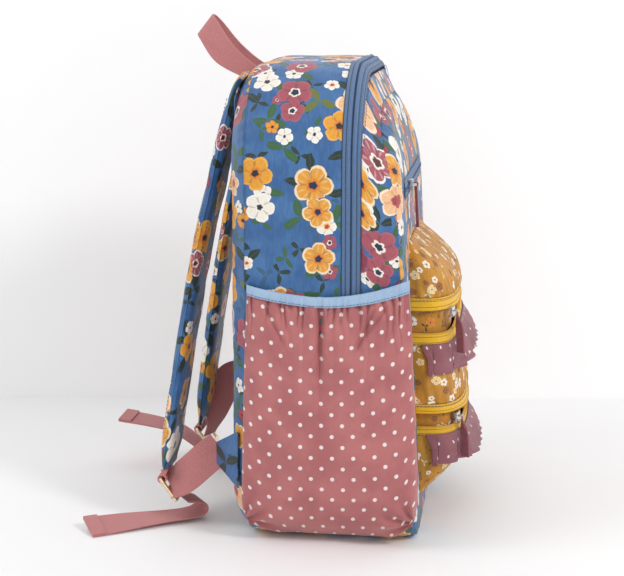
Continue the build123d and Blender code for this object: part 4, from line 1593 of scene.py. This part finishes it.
# ------------------------------------------------------------------ front pocket
@dataclass
class FrontPocket:
    """The two-storey pocket: mustard bands between two yellow zips that stand partly open."""

    form: BagForm
    kit: Materials
    half_width: float = 0.085
    upper_zip: float = 0.198
    lower_zip: float = 0.102
    bow: float = 0.6
    round: float = 0.58
    bulge: float = 0.032
    cloth_run: float = 0.235

    def gape(self, u: Array) -> Array:
        """How far the zips are open: 1 at the left end, 0 past the middle."""
        return smooth(0.46, 0.13, u)

    def out_line(self, z: Array) -> Array:
        """Depth of the pocket's foremost line at a height."""
        return along_curve(
            z,
            [
                (0.034, -0.0868), (0.038, -0.093), (0.052, -0.111), (0.068, -0.1195), (0.084, -0.1215),
                (0.12, -0.121), (0.15, -0.1165), (0.18, -0.115), (0.201, -0.113), (0.216, -0.113),
                (0.228, -0.1085), (0.238, -0.101), (0.248, -0.0905), (0.258, -0.0765), (0.262, -0.0715),
            ],
        )

    def points(self, u: Array, z: Array, out: float | Array = 0.0) -> Array:
        """Points on the pocket's face.

        Args:
            u: 0 where the left side meets the bag, 1 on the right.
            z: Height.
            out: Distance out from the face.

        Returns:
            Points.
        """
        u, z, out = np.broadcast_arrays(u, np.asarray(z, float), np.asarray(out, float))
        body = self.form.seam_y(z) - self.form.front_rise + 0.0012
        depth = np.clip(body - self.out_line(z), 0.0004, None)
        turn = np.linspace(0, math.pi, 2001)
        plan = np.stack(
            [
                -signed_power(np.cos(turn), self.bow) * self.half_width,
                self.bulge * np.sin(turn) ** self.round,
            ], 1
        )
        run = lengths(plan)
        angle = np.interp(u, run / run[-1], turn)
        c, s = np.cos(angle), np.clip(np.sin(angle), 0, None)
        narrow = 1 - 0.16 * smooth(0.225, 0.262, z)
        x = -signed_power(c, self.bow) * self.half_width * narrow
        y = body - depth * np.abs(s) ** self.round
        dx, dy = -c, -np.abs(s)
        return np.stack([x + dx * out, y + dy * out, z], -1)

    def band(
        self, name: str, high: Array, low: Array, u: Array, rows: int, gathers: tuple[float, float]
    ) -> tuple[Array, Array]:
        """Points and map of a band of gathered cloth.

        Args:
            name: Sets which ripples it takes.
            high: Height of its top edge at each place.
            low: Height of its lower edge.
            u: Places round the pocket.
            rows: Rows down it.
            gathers: How strong the gathers are at its top and its lower edge.

        Returns:
            Points and map.
        """
        t = np.linspace(0, 1, rows)[:, None]
        z = high + (low - high) * t
        run = u * self.cloth_run
        seed = 50 + len(name)
        lines = Ripple(seed, 0.0055).at(run + 3, z * 0.25 + 2) * 0.6 + np.sin(
            run * 2 * math.pi / 0.0078 + z * 90
        ) * 0.4
        top, foot = (high - z) / 0.013, (z - low) / 0.013
        relief = 0.0019 * lines * (gathers[0] * np.exp(-top) + gathers[1] * np.exp(-foot))
        broad = Ripple(seed + 1, 0.022).at(run + 3, z * 0.8 + 1)
        relief = relief + 0.0012 * broad * smooth(0, 0.3, t) * smooth(1, 0.7, t)
        relief = relief + 0.0014 * np.sin(t * math.pi) * gathers[1]
        tuck = smooth(0.0, 0.05, u) * smooth(1.0, 0.95, u)
        points = self.points(u[None, :], z, relief * tuck)
        down = lengths(points[:, len(u) // 3])
        uv = together(run[None, :] * 1.05 + 0.4, (high.mean() - down)[:, None])
        return points, uv

    def cloth(self, name: str, high: Array, low: Array, u: Array, rows: int, gathers: tuple[float, float],
              nodes: Sequence[str], flat: tuple[float, float]) -> None:
        """Make one mustard band."""
        points, uv = self.band(name, high, low, u, rows, gathers)
        obj = grid(name, points, uv, away=(0, 0, 0.15))
        dress(thicken(obj, 0.0015), self.kit.mustard)
        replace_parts(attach(obj, "bag"), *nodes)

    def tape(
        self, name: str, teeth: Array, edge: Array, u: Array, node: str, coil: Repeater, stitch: Repeater
    ) -> None:
        """One half of a zip, from its teeth to its sewn edge."""
        profile = [
            (0.0, -0.0012), (0.01, 0.0008), (0.06, 0.0013), (0.24, 0.0012), (0.3, 0.0006), (0.6, 0.0008),
            (0.93, 0.001), (1.0, 0.0006), (1.02, -0.001),
        ]
        rows = [self.points(u, teeth + (edge - teeth) * t, h) for t, h in profile]
        across = np.array([t for t, _ in profile])[:, None] * 0.0135
        run = lengths(rows[2])
        uv = together(across, run[None, :])
        obj = grid(name, np.stack(rows), uv, away=(0, 0, 0.15))
        dress(thicken(obj, 0.0009), self.kit.yellow_tape)
        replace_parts(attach(obj, "bag"), f"{node}_tape")
        sign = np.sign(edge - teeth).mean()
        line = self.points(u, teeth + sign * 0.0006, 0.001)
        chain = coil.run(f"{name}_coil", [line], 0.0016, 0.0016, 0.0005, (math.pi / 2, 0.0, 0.0))
        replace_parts(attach(chain, "bag"), f"{node}_chain")
        seam = self.points(u, edge - sign * 0.0012, 0.0013)
        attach(stitch.run(f"{name}_stitches", [seam[3:-3]], 0.0032, 0.0021, 0.00022), "bag")

    def ruffle(self, name: str, top: Array, u: Array, drop: float, node: str) -> None:
        """A hanging ruffle with folded pleats."""
        fine = np.linspace(0.035, 0.965, 900)
        t = np.concatenate([np.linspace(0, 1, 22), [1.0]])[:, None]
        pleat = 0.084
        front = smooth(0.16, 0.27, fine)[None, :] * smooth(0.84, 0.73, fine)[None, :]
        turns = fine[None, :] / pleat + 0.14 * Ripple(71, 0.11).at(fine[None, :] + 3, 0.0)
        fold = np.mod(turns, 1.0)
        over = np.interp(fold, [0.0, 0.58, 0.66, 1.0], [0.0, 0.62, 0.6, 0.0])
        wave = np.interp(
            fold, [0.0, 0.1, 0.55, 0.62, 0.72, 0.9, 1.0], [-0.3, -0.1, 0.9, 1.0, 0.2, -1.0, -0.3]
        )
        spread = smooth(0.0, 0.55, t)
        place = fine[None, :] + pleat * over * spread * (0.45 + 0.55 * front)
        lift = 0.0024 + (0.0022 + 0.0074 * front) * t**1.15 + (0.0014 + 0.0026 * front) * wave * spread
        lift = lift + 0.001 * t * Ripple(73, 0.05).at(fine[None, :] + 2, t)
        hang = drop * t * (1 + 0.05 * wave)
        z = np.interp(fine, u, top)[None, :] - hang
        anchor = np.interp(fine, u, top)[None, :] - hang * 0.35
        points = self.points(np.clip(place, 0.01, 0.99), anchor, lift)
        points[..., 2] = z
        uv = together(fine[None, :] * 0.42, z + 0.2)
        obj = grid(name, points, uv, away=(0, 0, 0.15))
        dress(thicken(obj, 0.0009), self.kit.ruffle)
        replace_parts(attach(obj, "bag"), node)
        drop * 1.04

    def build(self, coil: Repeater, stitch: Repeater) -> None:
        """Make the pocket."""
        u = np.linspace(0.0, 1.0, 260)
        g = self.gape(u)
        one = np.ones_like(u)
        upper_high, upper_low = 0.213 * one, 0.183 - 0.013 * g
        lower_high, lower_low = 0.117 * one, 0.087 + 0.0012 * g
        crest = 0.2615 * one
        self.cloth(
            "pocket_top_band", crest, upper_high, u, 40, (0.25, 1.0), ["pocket_top_panel"], (0.27, 0.06)
        )
        self.cloth(
            "pocket_middle_band", upper_low, lower_high, u, 44, (0.8, 1.0), ["pocket_middle_panel"],
            (0.27, 0.066),
        )
        self.cloth(
            "pocket_base_band", lower_low, 0.035 * one, u, 44, (0.8, 0.3), ["pocket_base_panel"],
            (0.27, 0.066),
        )
        for label, z, high, low, up, down in (
            ("upper", self.upper_zip, upper_high, upper_low, 0.003, 0.0165),
            ("lower", self.lower_zip, lower_high, lower_low, 0.0062, 0.0052),
        ):
            node = f"pocket_{label}"
            self.tape(f"{node}_zip_high", z + 0.0003 + up * g, high - 0.0004, u, node, coil, stitch)
            self.tape(f"{node}_zip_low", z - 0.0003 - down * g, low + 0.0004, u, node, coil, stitch)
            t = np.linspace(0, 1, 10)[:, None]
            inner = z + 0.004 + up * g - (0.008 + (up + down) * g) * t
            near = u[: int(len(u) * 0.52)]
            points = self.points(near[None, :], inner[:, : len(near)], -0.0045)
            uv = together(near[None, :] * 0.24 + 1.3, inner[:, : len(near)])
            patch = grid(f"{node}_inner_cloth", points, uv, away=(0, 0, 0.15))
            dress(thicken(patch, 0.0008), self.kit.mustard)
            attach(patch, "bag")
            self.ruffle(f"ruffle_{label}_pleated", low + 0.0016, u, 0.0265, f"ruffle_{label}")


@dataclass
class FrontZip:
    """The short zip across the front above the pocket."""

    form: BagForm
    kit: Materials
    height: float = 0.31
    half_length: float = 0.1

    def points(self, x: Array, dz: float, lift: float) -> Array:
        """Points along the zip, dz from its middle and lifted off the cloth."""
        z = np.full(x.shape, self.height + dz)
        y = self.form.seam_y(z) - self.form.front_rise - 0.0004 - lift
        return np.stack([x, y, z], -1)

    def build(self, coil: Repeater, stitch: Repeater) -> None:
        """Make both halves."""
        x = round_places(-self.half_length, self.half_length, 0.003)
        profile = [
            (0.0003, -0.0014), (0.0005, 0.0008), (0.002, 0.0012), (0.0034, 0.0006), (0.006, 0.0008),
            (0.0071, 0.0006), (0.0073, -0.001),
        ]
        for sign, label in ((1.0, "high"), (-1.0, "low")):
            rows = np.stack([self.points(x, sign * a, h) for a, h in profile])
            across = np.array([a for a, _ in profile])[:, None]
            uv = together(across, x[None, :])
            tape = grid(f"front_zip_{label}", rows, uv, away=(0, 0, 0.31))
            dress(thicken(tape, 0.0008), self.kit.blue_tape)
            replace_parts(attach(tape, "flap"), "front_zip_tape")
            teeth = coil.run(
                f"front_zip_coil_{label}", [self.points(x, sign * 0.0009, 0.0009)], 0.0016, 0.0014, 0.0005,
                (math.pi / 2, 0.0, 0.0),
            )
            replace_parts(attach(teeth, "flap"), "front_zip_chain")
            seam = stitch.run(
                f"front_zip_stitches_{label}", [self.points(x, sign * 0.0086, 0.0)], 0.0034, 0.0022, 0.00026
            )
            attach(seam, "flap")


# ------------------------------------------------------------------ straps and webbing
def corners(mesh: bpy.types.Mesh) -> Array:
    """Every corner of a mesh, one row each."""
    places = np.zeros(len(mesh.vertices) * 3)
    mesh.vertices.foreach_get("co", places)
    return places.reshape(-1, 3)


def flat_map(obj: Piece, across: Sequence[float], along: Sequence[float]) -> Piece:
    """Give a piece the cloth map seen square on.

    Args:
        obj: The piece.
        across: Direction of the map's width.
        along: Direction of the map's length.

    Returns:
        The same object.
    """
    mesh = obj.data
    places = corners(mesh)
    middle = (places.min(0) + places.max(0)) / 2
    flat = np.stack(
        [(places - middle) @ np.array(across, float), (places - middle) @ np.array(along, float)], -1
    )
    corner = np.zeros(len(mesh.loops), int)
    mesh.loops.foreach_get("vertex_index", corner)
    layer = mesh.uv_layers.get(UV_NAME) or mesh.uv_layers.new(name=UV_NAME)
    layer.data.foreach_set("uv", flat[corner].astype(np.float32).ravel())
    return obj


@dataclass
class ShoulderStrap:
    """One padded shoulder strap with a seam round its edge."""

    kit: Materials
    side: float
    label: str
    width: float = 0.06
    thick: float = 0.0128
    top_x: float = 0.056
    splay: float = math.tan(math.radians(4.4))
    line: tuple[tuple[float, float], ...] = (
        (0.0735, 0.406), (0.0815, 0.397), (0.0905, 0.357), (0.102, 0.306), (0.114, 0.254),
        (0.123, 0.202), (0.1315, 0.15), (0.1395, 0.098), (0.1445, 0.052),
    )

    def middle(self, step: float) -> tuple[Array, Array, Array]:
        """Points along the middle, with the directions of the width and of the thickness."""
        knots = [
            (self.side * (self.top_x + (self.line[1][1] - z) * self.splay), y, z) for y, z in self.line
        ]
        path = even_path(knots, step)
        tangent = unit(np.gradient(path, axis=0))
        lift = unit(np.cross(tangent, np.array([1.0, 0, 0])))
        lift = np.where(lift[:, 1:2] < 0, -lift, lift)
        across = unit(np.cross(tangent, lift))
        return path, across, lift

    def sewn(self, obj: Piece) -> Piece:
        """Bake a piece's placement into its mesh."""
        start, end = (self.side * 0.056, 0.075, 0.404), (self.side * 0.058, 0.09, 0.37)
        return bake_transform(obj)

    def build(self, stitch: Repeater) -> None:
        """Make the strap."""
        path, across, lift = self.middle(0.0034)
        run = lengths(path)
        turn = np.linspace(0, 2 * math.pi, 97)[:-1]
        c, s = np.cos(turn), np.sin(turn)
        flat = signed_power(c, 0.62)
        share = np.abs(flat)
        pad = np.sqrt(np.clip(1 - (share / 0.955) ** 5, 0, None))
        rim = 0.13
        height = np.sign(s) * np.maximum(pad, rim * np.sqrt(np.clip(1 - share**14, 0, None)))
        ends = smooth(0.0, 0.06, run) * smooth(run[-1], run[-1] - 0.026, run)
        seed = 80 if self.side < 0 else 90
        quilting = Ripple(seed, 0.026).at(run[:, None] + 3, 0.3 + flat[None, :] * 0.018)
        fine = Ripple(seed + 1, 0.011).at(run[:, None] + 3, 0.4 + flat[None, :] * 0.012)
        edge = smooth(0.45, 0.92, share)[None, :]
        crease = np.clip(
            1 - np.abs(Ripple(seed + 2, 0.019).at(run[:, None] + 5, flat[None, :] * 0.01 + 1)) * 7, 0, 1
        )
        puff = 1 + (0.1 * quilting + 0.05 * fine) * (1 - 0.3 * edge) - 0.1 * crease * edge
        half = self.thick / 2 * (0.42 + 0.58 * ends)[:, None] * height[None, :] * puff
        half = np.clip(half, -self.thick / 2, self.thick / 2)
        wobble = 0.0013 * Ripple(seed + 3, 0.024).at(run + 2, 0.0)
        width = self.width / 2 - 0.0006 + 0.0009 * Ripple(seed + 4, 0.012).at(run + 2, 0.0)
        points = (
            path[:, None, :]
            + across[:, None, :] * (flat[None, :] * width[:, None] + 0.3 * wobble[:, None])[..., None]
            + lift[:, None, :] * (half + wobble[:, None] * (1 - 0.4 * edge) * 0.5)[..., None]
        )
        points = capped(points)
        girth = np.concatenate(
            [[0], np.cumsum(np.hypot(np.diff(flat * self.width / 2), np.diff(height * self.thick / 2)))]
        )
        along = np.concatenate([run[:1], run, run[-1:]])
        uv = together(girth[None, :] + 0.53 * (2 + self.side), along[:, None])
        obj = grid(
            f"strap_{self.label}_padded", points, uv, closed=True, away=(self.side * 0.07, 0.115, 0.22)
        )
        outwards(obj)
        dress(obj, self.kit.blue)
        self.sewn(obj)
        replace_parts(obj, f"strap_cover_{self.label}", f"strap_foam_{self.label}")
        aside = across * (self.width / 2 - 0.0042)
        above = lift * (self.thick / 2 * 0.6 + wobble[:, None] * 0.2)
        lines = [
            (path + aside * edge_side + above * face)[8:-10] for edge_side in (-1, 1) for face in (-1, 1)
        ]
        self.sewn(stitch.run(f"strap_{self.label}_stitches", lines, 0.0036, 0.0022, 0.00024))
        eye = flat_map(soft_copy(f"strap_end_{self.label}", 0.0004), (1, 0, 0), (0, -0.3, 0.954))
        dress(eye, self.kit.webbing)
        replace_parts(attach(eye, f"strap_{self.label}"), f"strap_end_{self.label}")


@dataclass
class Webbing:
    """The webbing below one strap: from the sewn tab to the buckle, and the loose end behind it."""

    kit: Materials
    side: float
    label: str
    width: float = 0.03
    thick: float = 0.0016
    buckle_x: float = 0.08247

    def lower(self) -> Piece:
        """From the sewn tab to the buckle."""
        if self.side < 0:
            knots = [
                (0.1045, 0.093, 0.076), (0.1065, 0.104, 0.068), (0.1075, 0.118, 0.0545),
                (0.103, 0.131, 0.043), (0.092, 0.1425, 0.0375), (self.buckle_x, 0.144, 0.033),
            ]
        else:
            knots = [
                (0.104, 0.0935, 0.0735), (0.1034, 0.102, 0.085), (0.1, 0.113, 0.0935),
                (0.093, 0.124, 0.088), (0.086, 0.13, 0.07), (self.buckle_x, 0.133, 0.048),
                (self.buckle_x, 0.14, 0.033),
            ]
        path = even_path([(self.side * x, y, z) for x, y, z in knots], 0.002)
        tangent = unit(np.gradient(path, axis=0))
        upright = unit(np.cross(tangent, np.array([1.0, 0, 0])))
        share = np.linspace(0, 1, len(path))[:, None]
        angle = smooth(0.35, 1.0, share) * math.radians(58 if self.side < 0 else 78)
        across = upright * np.cos(angle) + np.array([1.0, 0, 0]) * np.sin(angle) * self.side
        return strip(f"lower_webbing_cloth_{self.label}", path, across, self.width, self.thick)

    def loose(self) -> Piece:
        """The loose end, with its hem folded over."""
        start = np.array([self.side * self.buckle_x, 0.13263, 0.02016])
        if self.side < 0:
            guide = [
                (0, 0), (-0.01, -0.0015), (-0.019, -0.0045), (-0.0185, -0.013), (-0.008, -0.016),
                (0.02, -0.015), (0.05, -0.0145), (0.091, -0.015),
            ]
            turn = math.radians(33)
        else:
            guide = [
                (0.0008, 0.0011), (-0.01, -0.0015), (-0.0175, -0.0045), (-0.014, -0.0115),
                (-0.003, -0.013), (0.02, 0.004), (0.042, 0.0185), (0.07, 0.0235), (0.099, 0.0268),
            ]
            turn = math.radians(4)
        knots = []
        for back, up in guide:
            knots.append(start + np.array([self.side * back * math.sin(turn), back * math.cos(turn), up]))
        path = even_path(knots, 0.0016)
        across = np.tile(np.array([math.cos(turn), -self.side * math.sin(turn), 0.0]), (len(path), 1))
        lean = smooth(0.35, 1.0, np.linspace(0, 1, len(path)))[:, None]
        across = across + lean * np.array([0.0, 0.0, 0.1 if self.side > 0 else 0.3])
        hem = path[-9:].copy()
        hem[:, 2] += self.thick * 0.95
        main_part = strip(f"webbing_tail_cloth_{self.label}", path, across, self.width, self.thick, v0=0.1)
        fold = strip("fold", hem, across[-9:], self.width, self.thick, v0=0.2)
        return weld(f"webbing_tail_cloth_{self.label}", [main_part, fold])

    def build(self) -> None:
        """Make the webbing, its tab and its buckle."""
        lower = dress(self.lower(), self.kit.webbing)
        self.side * 0.1035
        self.side * 0.084
        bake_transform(lower)
        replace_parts(lower, f"lower_webbing_{self.label}")
        tail = dress(self.loose(), self.kit.webbing)
        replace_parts(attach(tail, f"tail_{self.label}"), f"webbing_tail_{self.label}")
        tab = flat_map(soft_copy(f"anchor_tab_{self.label}", 0.0009, 3), (0, 1, 0), (0, 0, 1))
        dress(tab, self.kit.blue)
        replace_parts(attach(tab, "bag"), f"anchor_tab_{self.label}")
        metal = dress(soft_copy(f"buckle_{self.label}", 0.0006, 3), self.kit.gold)
        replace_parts(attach(metal, f"buckle_{self.label}"), f"buckle_{self.label}")


@dataclass
class HaulLoop:
    """The grab loop at the top of the back."""

    kit: Materials
    width: float = 0.025
    thick: float = 0.0018
    fold: tuple[float, float] = (0.071, 0.407)
    lean: float = math.radians(38)

    def build(self) -> None:
        """Make the loop."""
        along = np.array([0.0, math.cos(self.lean), math.sin(self.lean)])
        normal = np.array([0.0, -math.sin(self.lean), math.cos(self.lean)])
        origin = np.array([0.0, *self.fold])
        guide = [
            (-0.0245, -0.01), (-0.024, 0.004), (-0.021, 0.022), (-0.016, 0.044), (-0.0095, 0.059),
            (-0.0055, 0.064), (0.0, 0.0645),
        ]
        guide += [(-x, y) for x, y in guide[-2::-1]]
        knots = [origin + np.array([x, 0, 0]) + along * y for x, y in guide]
        path = even_path(knots, 0.0018)
        rise = np.clip((path - origin) @ along, 0, None)
        path = path - normal * (
            0.0045 * smooth(0.064, 0.03, rise) + 0.003 * np.sin(np.clip(rise / 0.064, 0, 1) * math.pi)
        )[:, None]
        across = np.tile(normal, (len(path), 1))
        taper = 0.6 + 0.34 * smooth(0.0, 0.04, rise)
        loop = strip("haul_loop_webbing", path, across, self.width, self.thick, taper=taper)
        dress(loop, self.kit.webbing)
        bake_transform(loop)
        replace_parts(loop, "haul_loop", "haul_loop_foot")


# ------------------------------------------------------------------ small fittings
class Fitting(Enum):
    """Which finish a small rigid part takes."""

    ANTIQUE = "antique_metal"
    LEATHER = "leather_pull"
    RIBBON = "ribbon"


@dataclass
class Hardware:
    """Sliders, their pulls, the yoke and the divider, finished over the frame's own parts."""

    kit: Materials

    def fit(self, node: str, finish: Finish, ease: float) -> Piece:
        """Finish one small part."""
        part = dress(flat_map(soft_copy(node, ease, 3), (1, 0, 0), (0, 0, 1)), finish)
        body = frame["nodes"][node]["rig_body"]
        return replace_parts(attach(part, body), node)

    def ribbon(self, node: str) -> None:
        """A folded ribbon that hangs from a slider and turns a little to the side."""
        places = corners(frame["nodes"][node].data)
        low, high = places[:, 2].min(), places[:, 2].max()
        top = places[places[:, 2] > high - 0.004].mean(0)
        foot = places[places[:, 2] < low + 0.004].mean(0)
        top[2], foot[2] = high - 0.0015, low + 0.0008
        knots = [
            top, top * 0.7 + foot * 0.3 + np.array([0, -0.0014, 0]),
            top * 0.3 + foot * 0.7 + np.array([0, -0.001, 0]), foot,
        ]
        path = even_path(knots, 0.0012)
        share = np.linspace(0, 1, len(path))
        turn = math.radians(52) * smooth(0.0, 0.45, share)
        across = np.stack([np.cos(turn), np.sin(turn), 0 * turn], 1)
        taper = 0.62 + 0.38 * smooth(0.02, 0.22, share)
        band = dress(strip(f"{node}_ribbon", path, across, 0.0092, 0.0019, taper=taper), self.kit.ribbon)
        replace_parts(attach(band, node), node)

    def build(self) -> None:
        """Finish all of them."""
        kit = self.kit
        for node in (
            "main_slider_a", "main_slider_b", "front_slider", "pocket_upper_slider", "pocket_lower_slider"
        ):
            self.fit(node, kit.steel, 0.0004)
        for node in ("main_pull_a", "main_pull_b"):
            self.fit(node, kit.antique, 0.0004)
        self.fit("front_pull", kit.leather, 0.0005)
        for node in ("pocket_upper_pull", "pocket_lower_pull"):
            self.ribbon(node)
        yoke = dress(flat_map(soft_copy("strap_yoke", 0.0006, 2), (-1, 0, 0), (0, 0, 1)), kit.blue)
        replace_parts(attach(yoke, "bag"), "strap_yoke")
        divider = dress(flat_map(soft_copy("pocket_divider", 0.0003, 2), (1, 0, 0), (0, 1, 0)), kit.lining)
        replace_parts(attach(divider, "bag"), "pocket_divider")


# ------------------------------------------------------------------ floor, light and camera
@dataclass
class Studio:
    """A pale floor and wall, soft light and the camera."""

    eye: Triple = (-1.4598, -0.1682, 0.4892)
    aim: Triple = (0.0, 0.024, 0.203)
    lens: float = 92.3
    wall_distance: float = 0.3655
    floor_size: float = 5.0
    wall_height: float = 4.0
    sky_strength: float = 0.67
    floor_colours: tuple[Colour, Colour] = ((0.9, 0.9, 0.905), (0.88, 0.88, 0.885))
    wall_colours: tuple[Colour, Colour] = ((0.985, 0.985, 0.985), (0.975, 0.975, 0.975))

    def surface(self, name: str, corners: Sequence[Sequence[float]], colour: Colour, dark: Colour) -> None:
        """One flat plane of the set."""
        mesh = bpy.data.meshes.new(name)
        mesh.from_pydata([list(c) for c in corners], [], [list(range(len(corners)))])
        shade = Shade(f"{name}_paint")
        clouds = shade.noise(shade.place(), 1.3, 2.0, flat=False)
        shade.finish(Base_Color=shade.mix(clouds.step(0.3, 0.7) * 0.3, colour, dark), Roughness=0.85)
        obj = link(name, mesh)
        dress(obj, shade.material)

    def lamp(
        self, name: str, place: Sequence[float], size: float, power: float, colour: Colour = (1.0, 1.0, 1.0)
    ) -> None:
        """A square soft light that looks at the bag."""
        data = bpy.data.lights.new(name, "AREA")
        data.size, data.energy, data.color = size, power, colour
        obj = bpy.data.objects.new(name, data)
        bpy.context.scene.collection.objects.link(obj)
        obj.location = place
        obj.rotation_euler = (Vector((0, 0, 0.2)) - obj.location).to_track_quat("-Z", "Y").to_euler()

    def build(self) -> None:
        """Set it all out."""
        view = Vector((self.aim[0] - self.eye[0], self.aim[1] - self.eye[1], 0)).normalized()
        size = self.floor_size
        foot, aside = view * self.wall_distance, Vector((-view.y, view.x, 0)) * size
        up = Vector((0, 0, self.wall_height))
        room = [(-size, -size, 0), (size, -size, 0), (size, size, 0), (-size, size, 0)]
        self.surface("floor", room, *self.floor_colours)
        wall = [foot - aside, foot - aside + up, foot + aside + up, foot + aside]
        self.surface("wall", wall, *self.wall_colours)
        self.lamp("key", (-1.1, -1.4, 1.4), 0.4, 16)
        self.lamp("fill", (-1.7, 0.1, 0.9), 1.4, 2)
        self.lamp("backdrop", (-0.9, 1.6, 1.9), 1.0, 12)
        world = bpy.data.worlds.new("room")
        world.use_nodes = True
        sky = world.node_tree.nodes["Background"]
        sky.inputs["Color"].default_value = (1.0, 1.0, 1.0, 1.0)
        sky.inputs["Strength"].default_value = self.sky_strength
        scene = bpy.context.scene
        scene.world = world
        scene.view_settings.view_transform = "Standard"
        camera = bpy.data.objects.new("camera", bpy.data.cameras.new("camera"))
        scene.collection.objects.link(camera)
        camera.location = self.eye
        camera.rotation_euler = (Vector(self.aim) - camera.location).to_track_quat("-Z", "Y").to_euler()
        camera.data.lens, camera.data.sensor_width = self.lens, 36.0
        scene.camera = camera


def main() -> None:
    """Build the backpack and its set."""
    logging.basicConfig(level=logging.INFO, format="%(name)s: %(message)s")
    kit = Materials.make()
    blue_teeth = Repeater("Blue_coil_teeth", kit.blue_coil, along=False)
    yellow_teeth = Repeater("Yellow_coil_teeth", kit.yellow_coil, along=False)
    stitch = Repeater("Running_stitches", kit.thread, along=True)
    Shell(FORM, kit).build()
    MainZip(FORM, kit).build(blue_teeth, stitch)
    FrontZip(FORM, kit).build(blue_teeth, stitch)
    FrontPocket(FORM, kit).build(yellow_teeth, stitch)
    for side, label in ((-1.0, "left"), (1.0, "right")):
        SidePocket(FORM, kit, side, label).build(stitch)
        ShoulderStrap(kit, side, label).build(stitch)
        Webbing(kit, side, label).build()
    HaulLoop(kit).build()
    Hardware(kit).build()
    Studio().build()


if __name__ == "__main__":
    main()
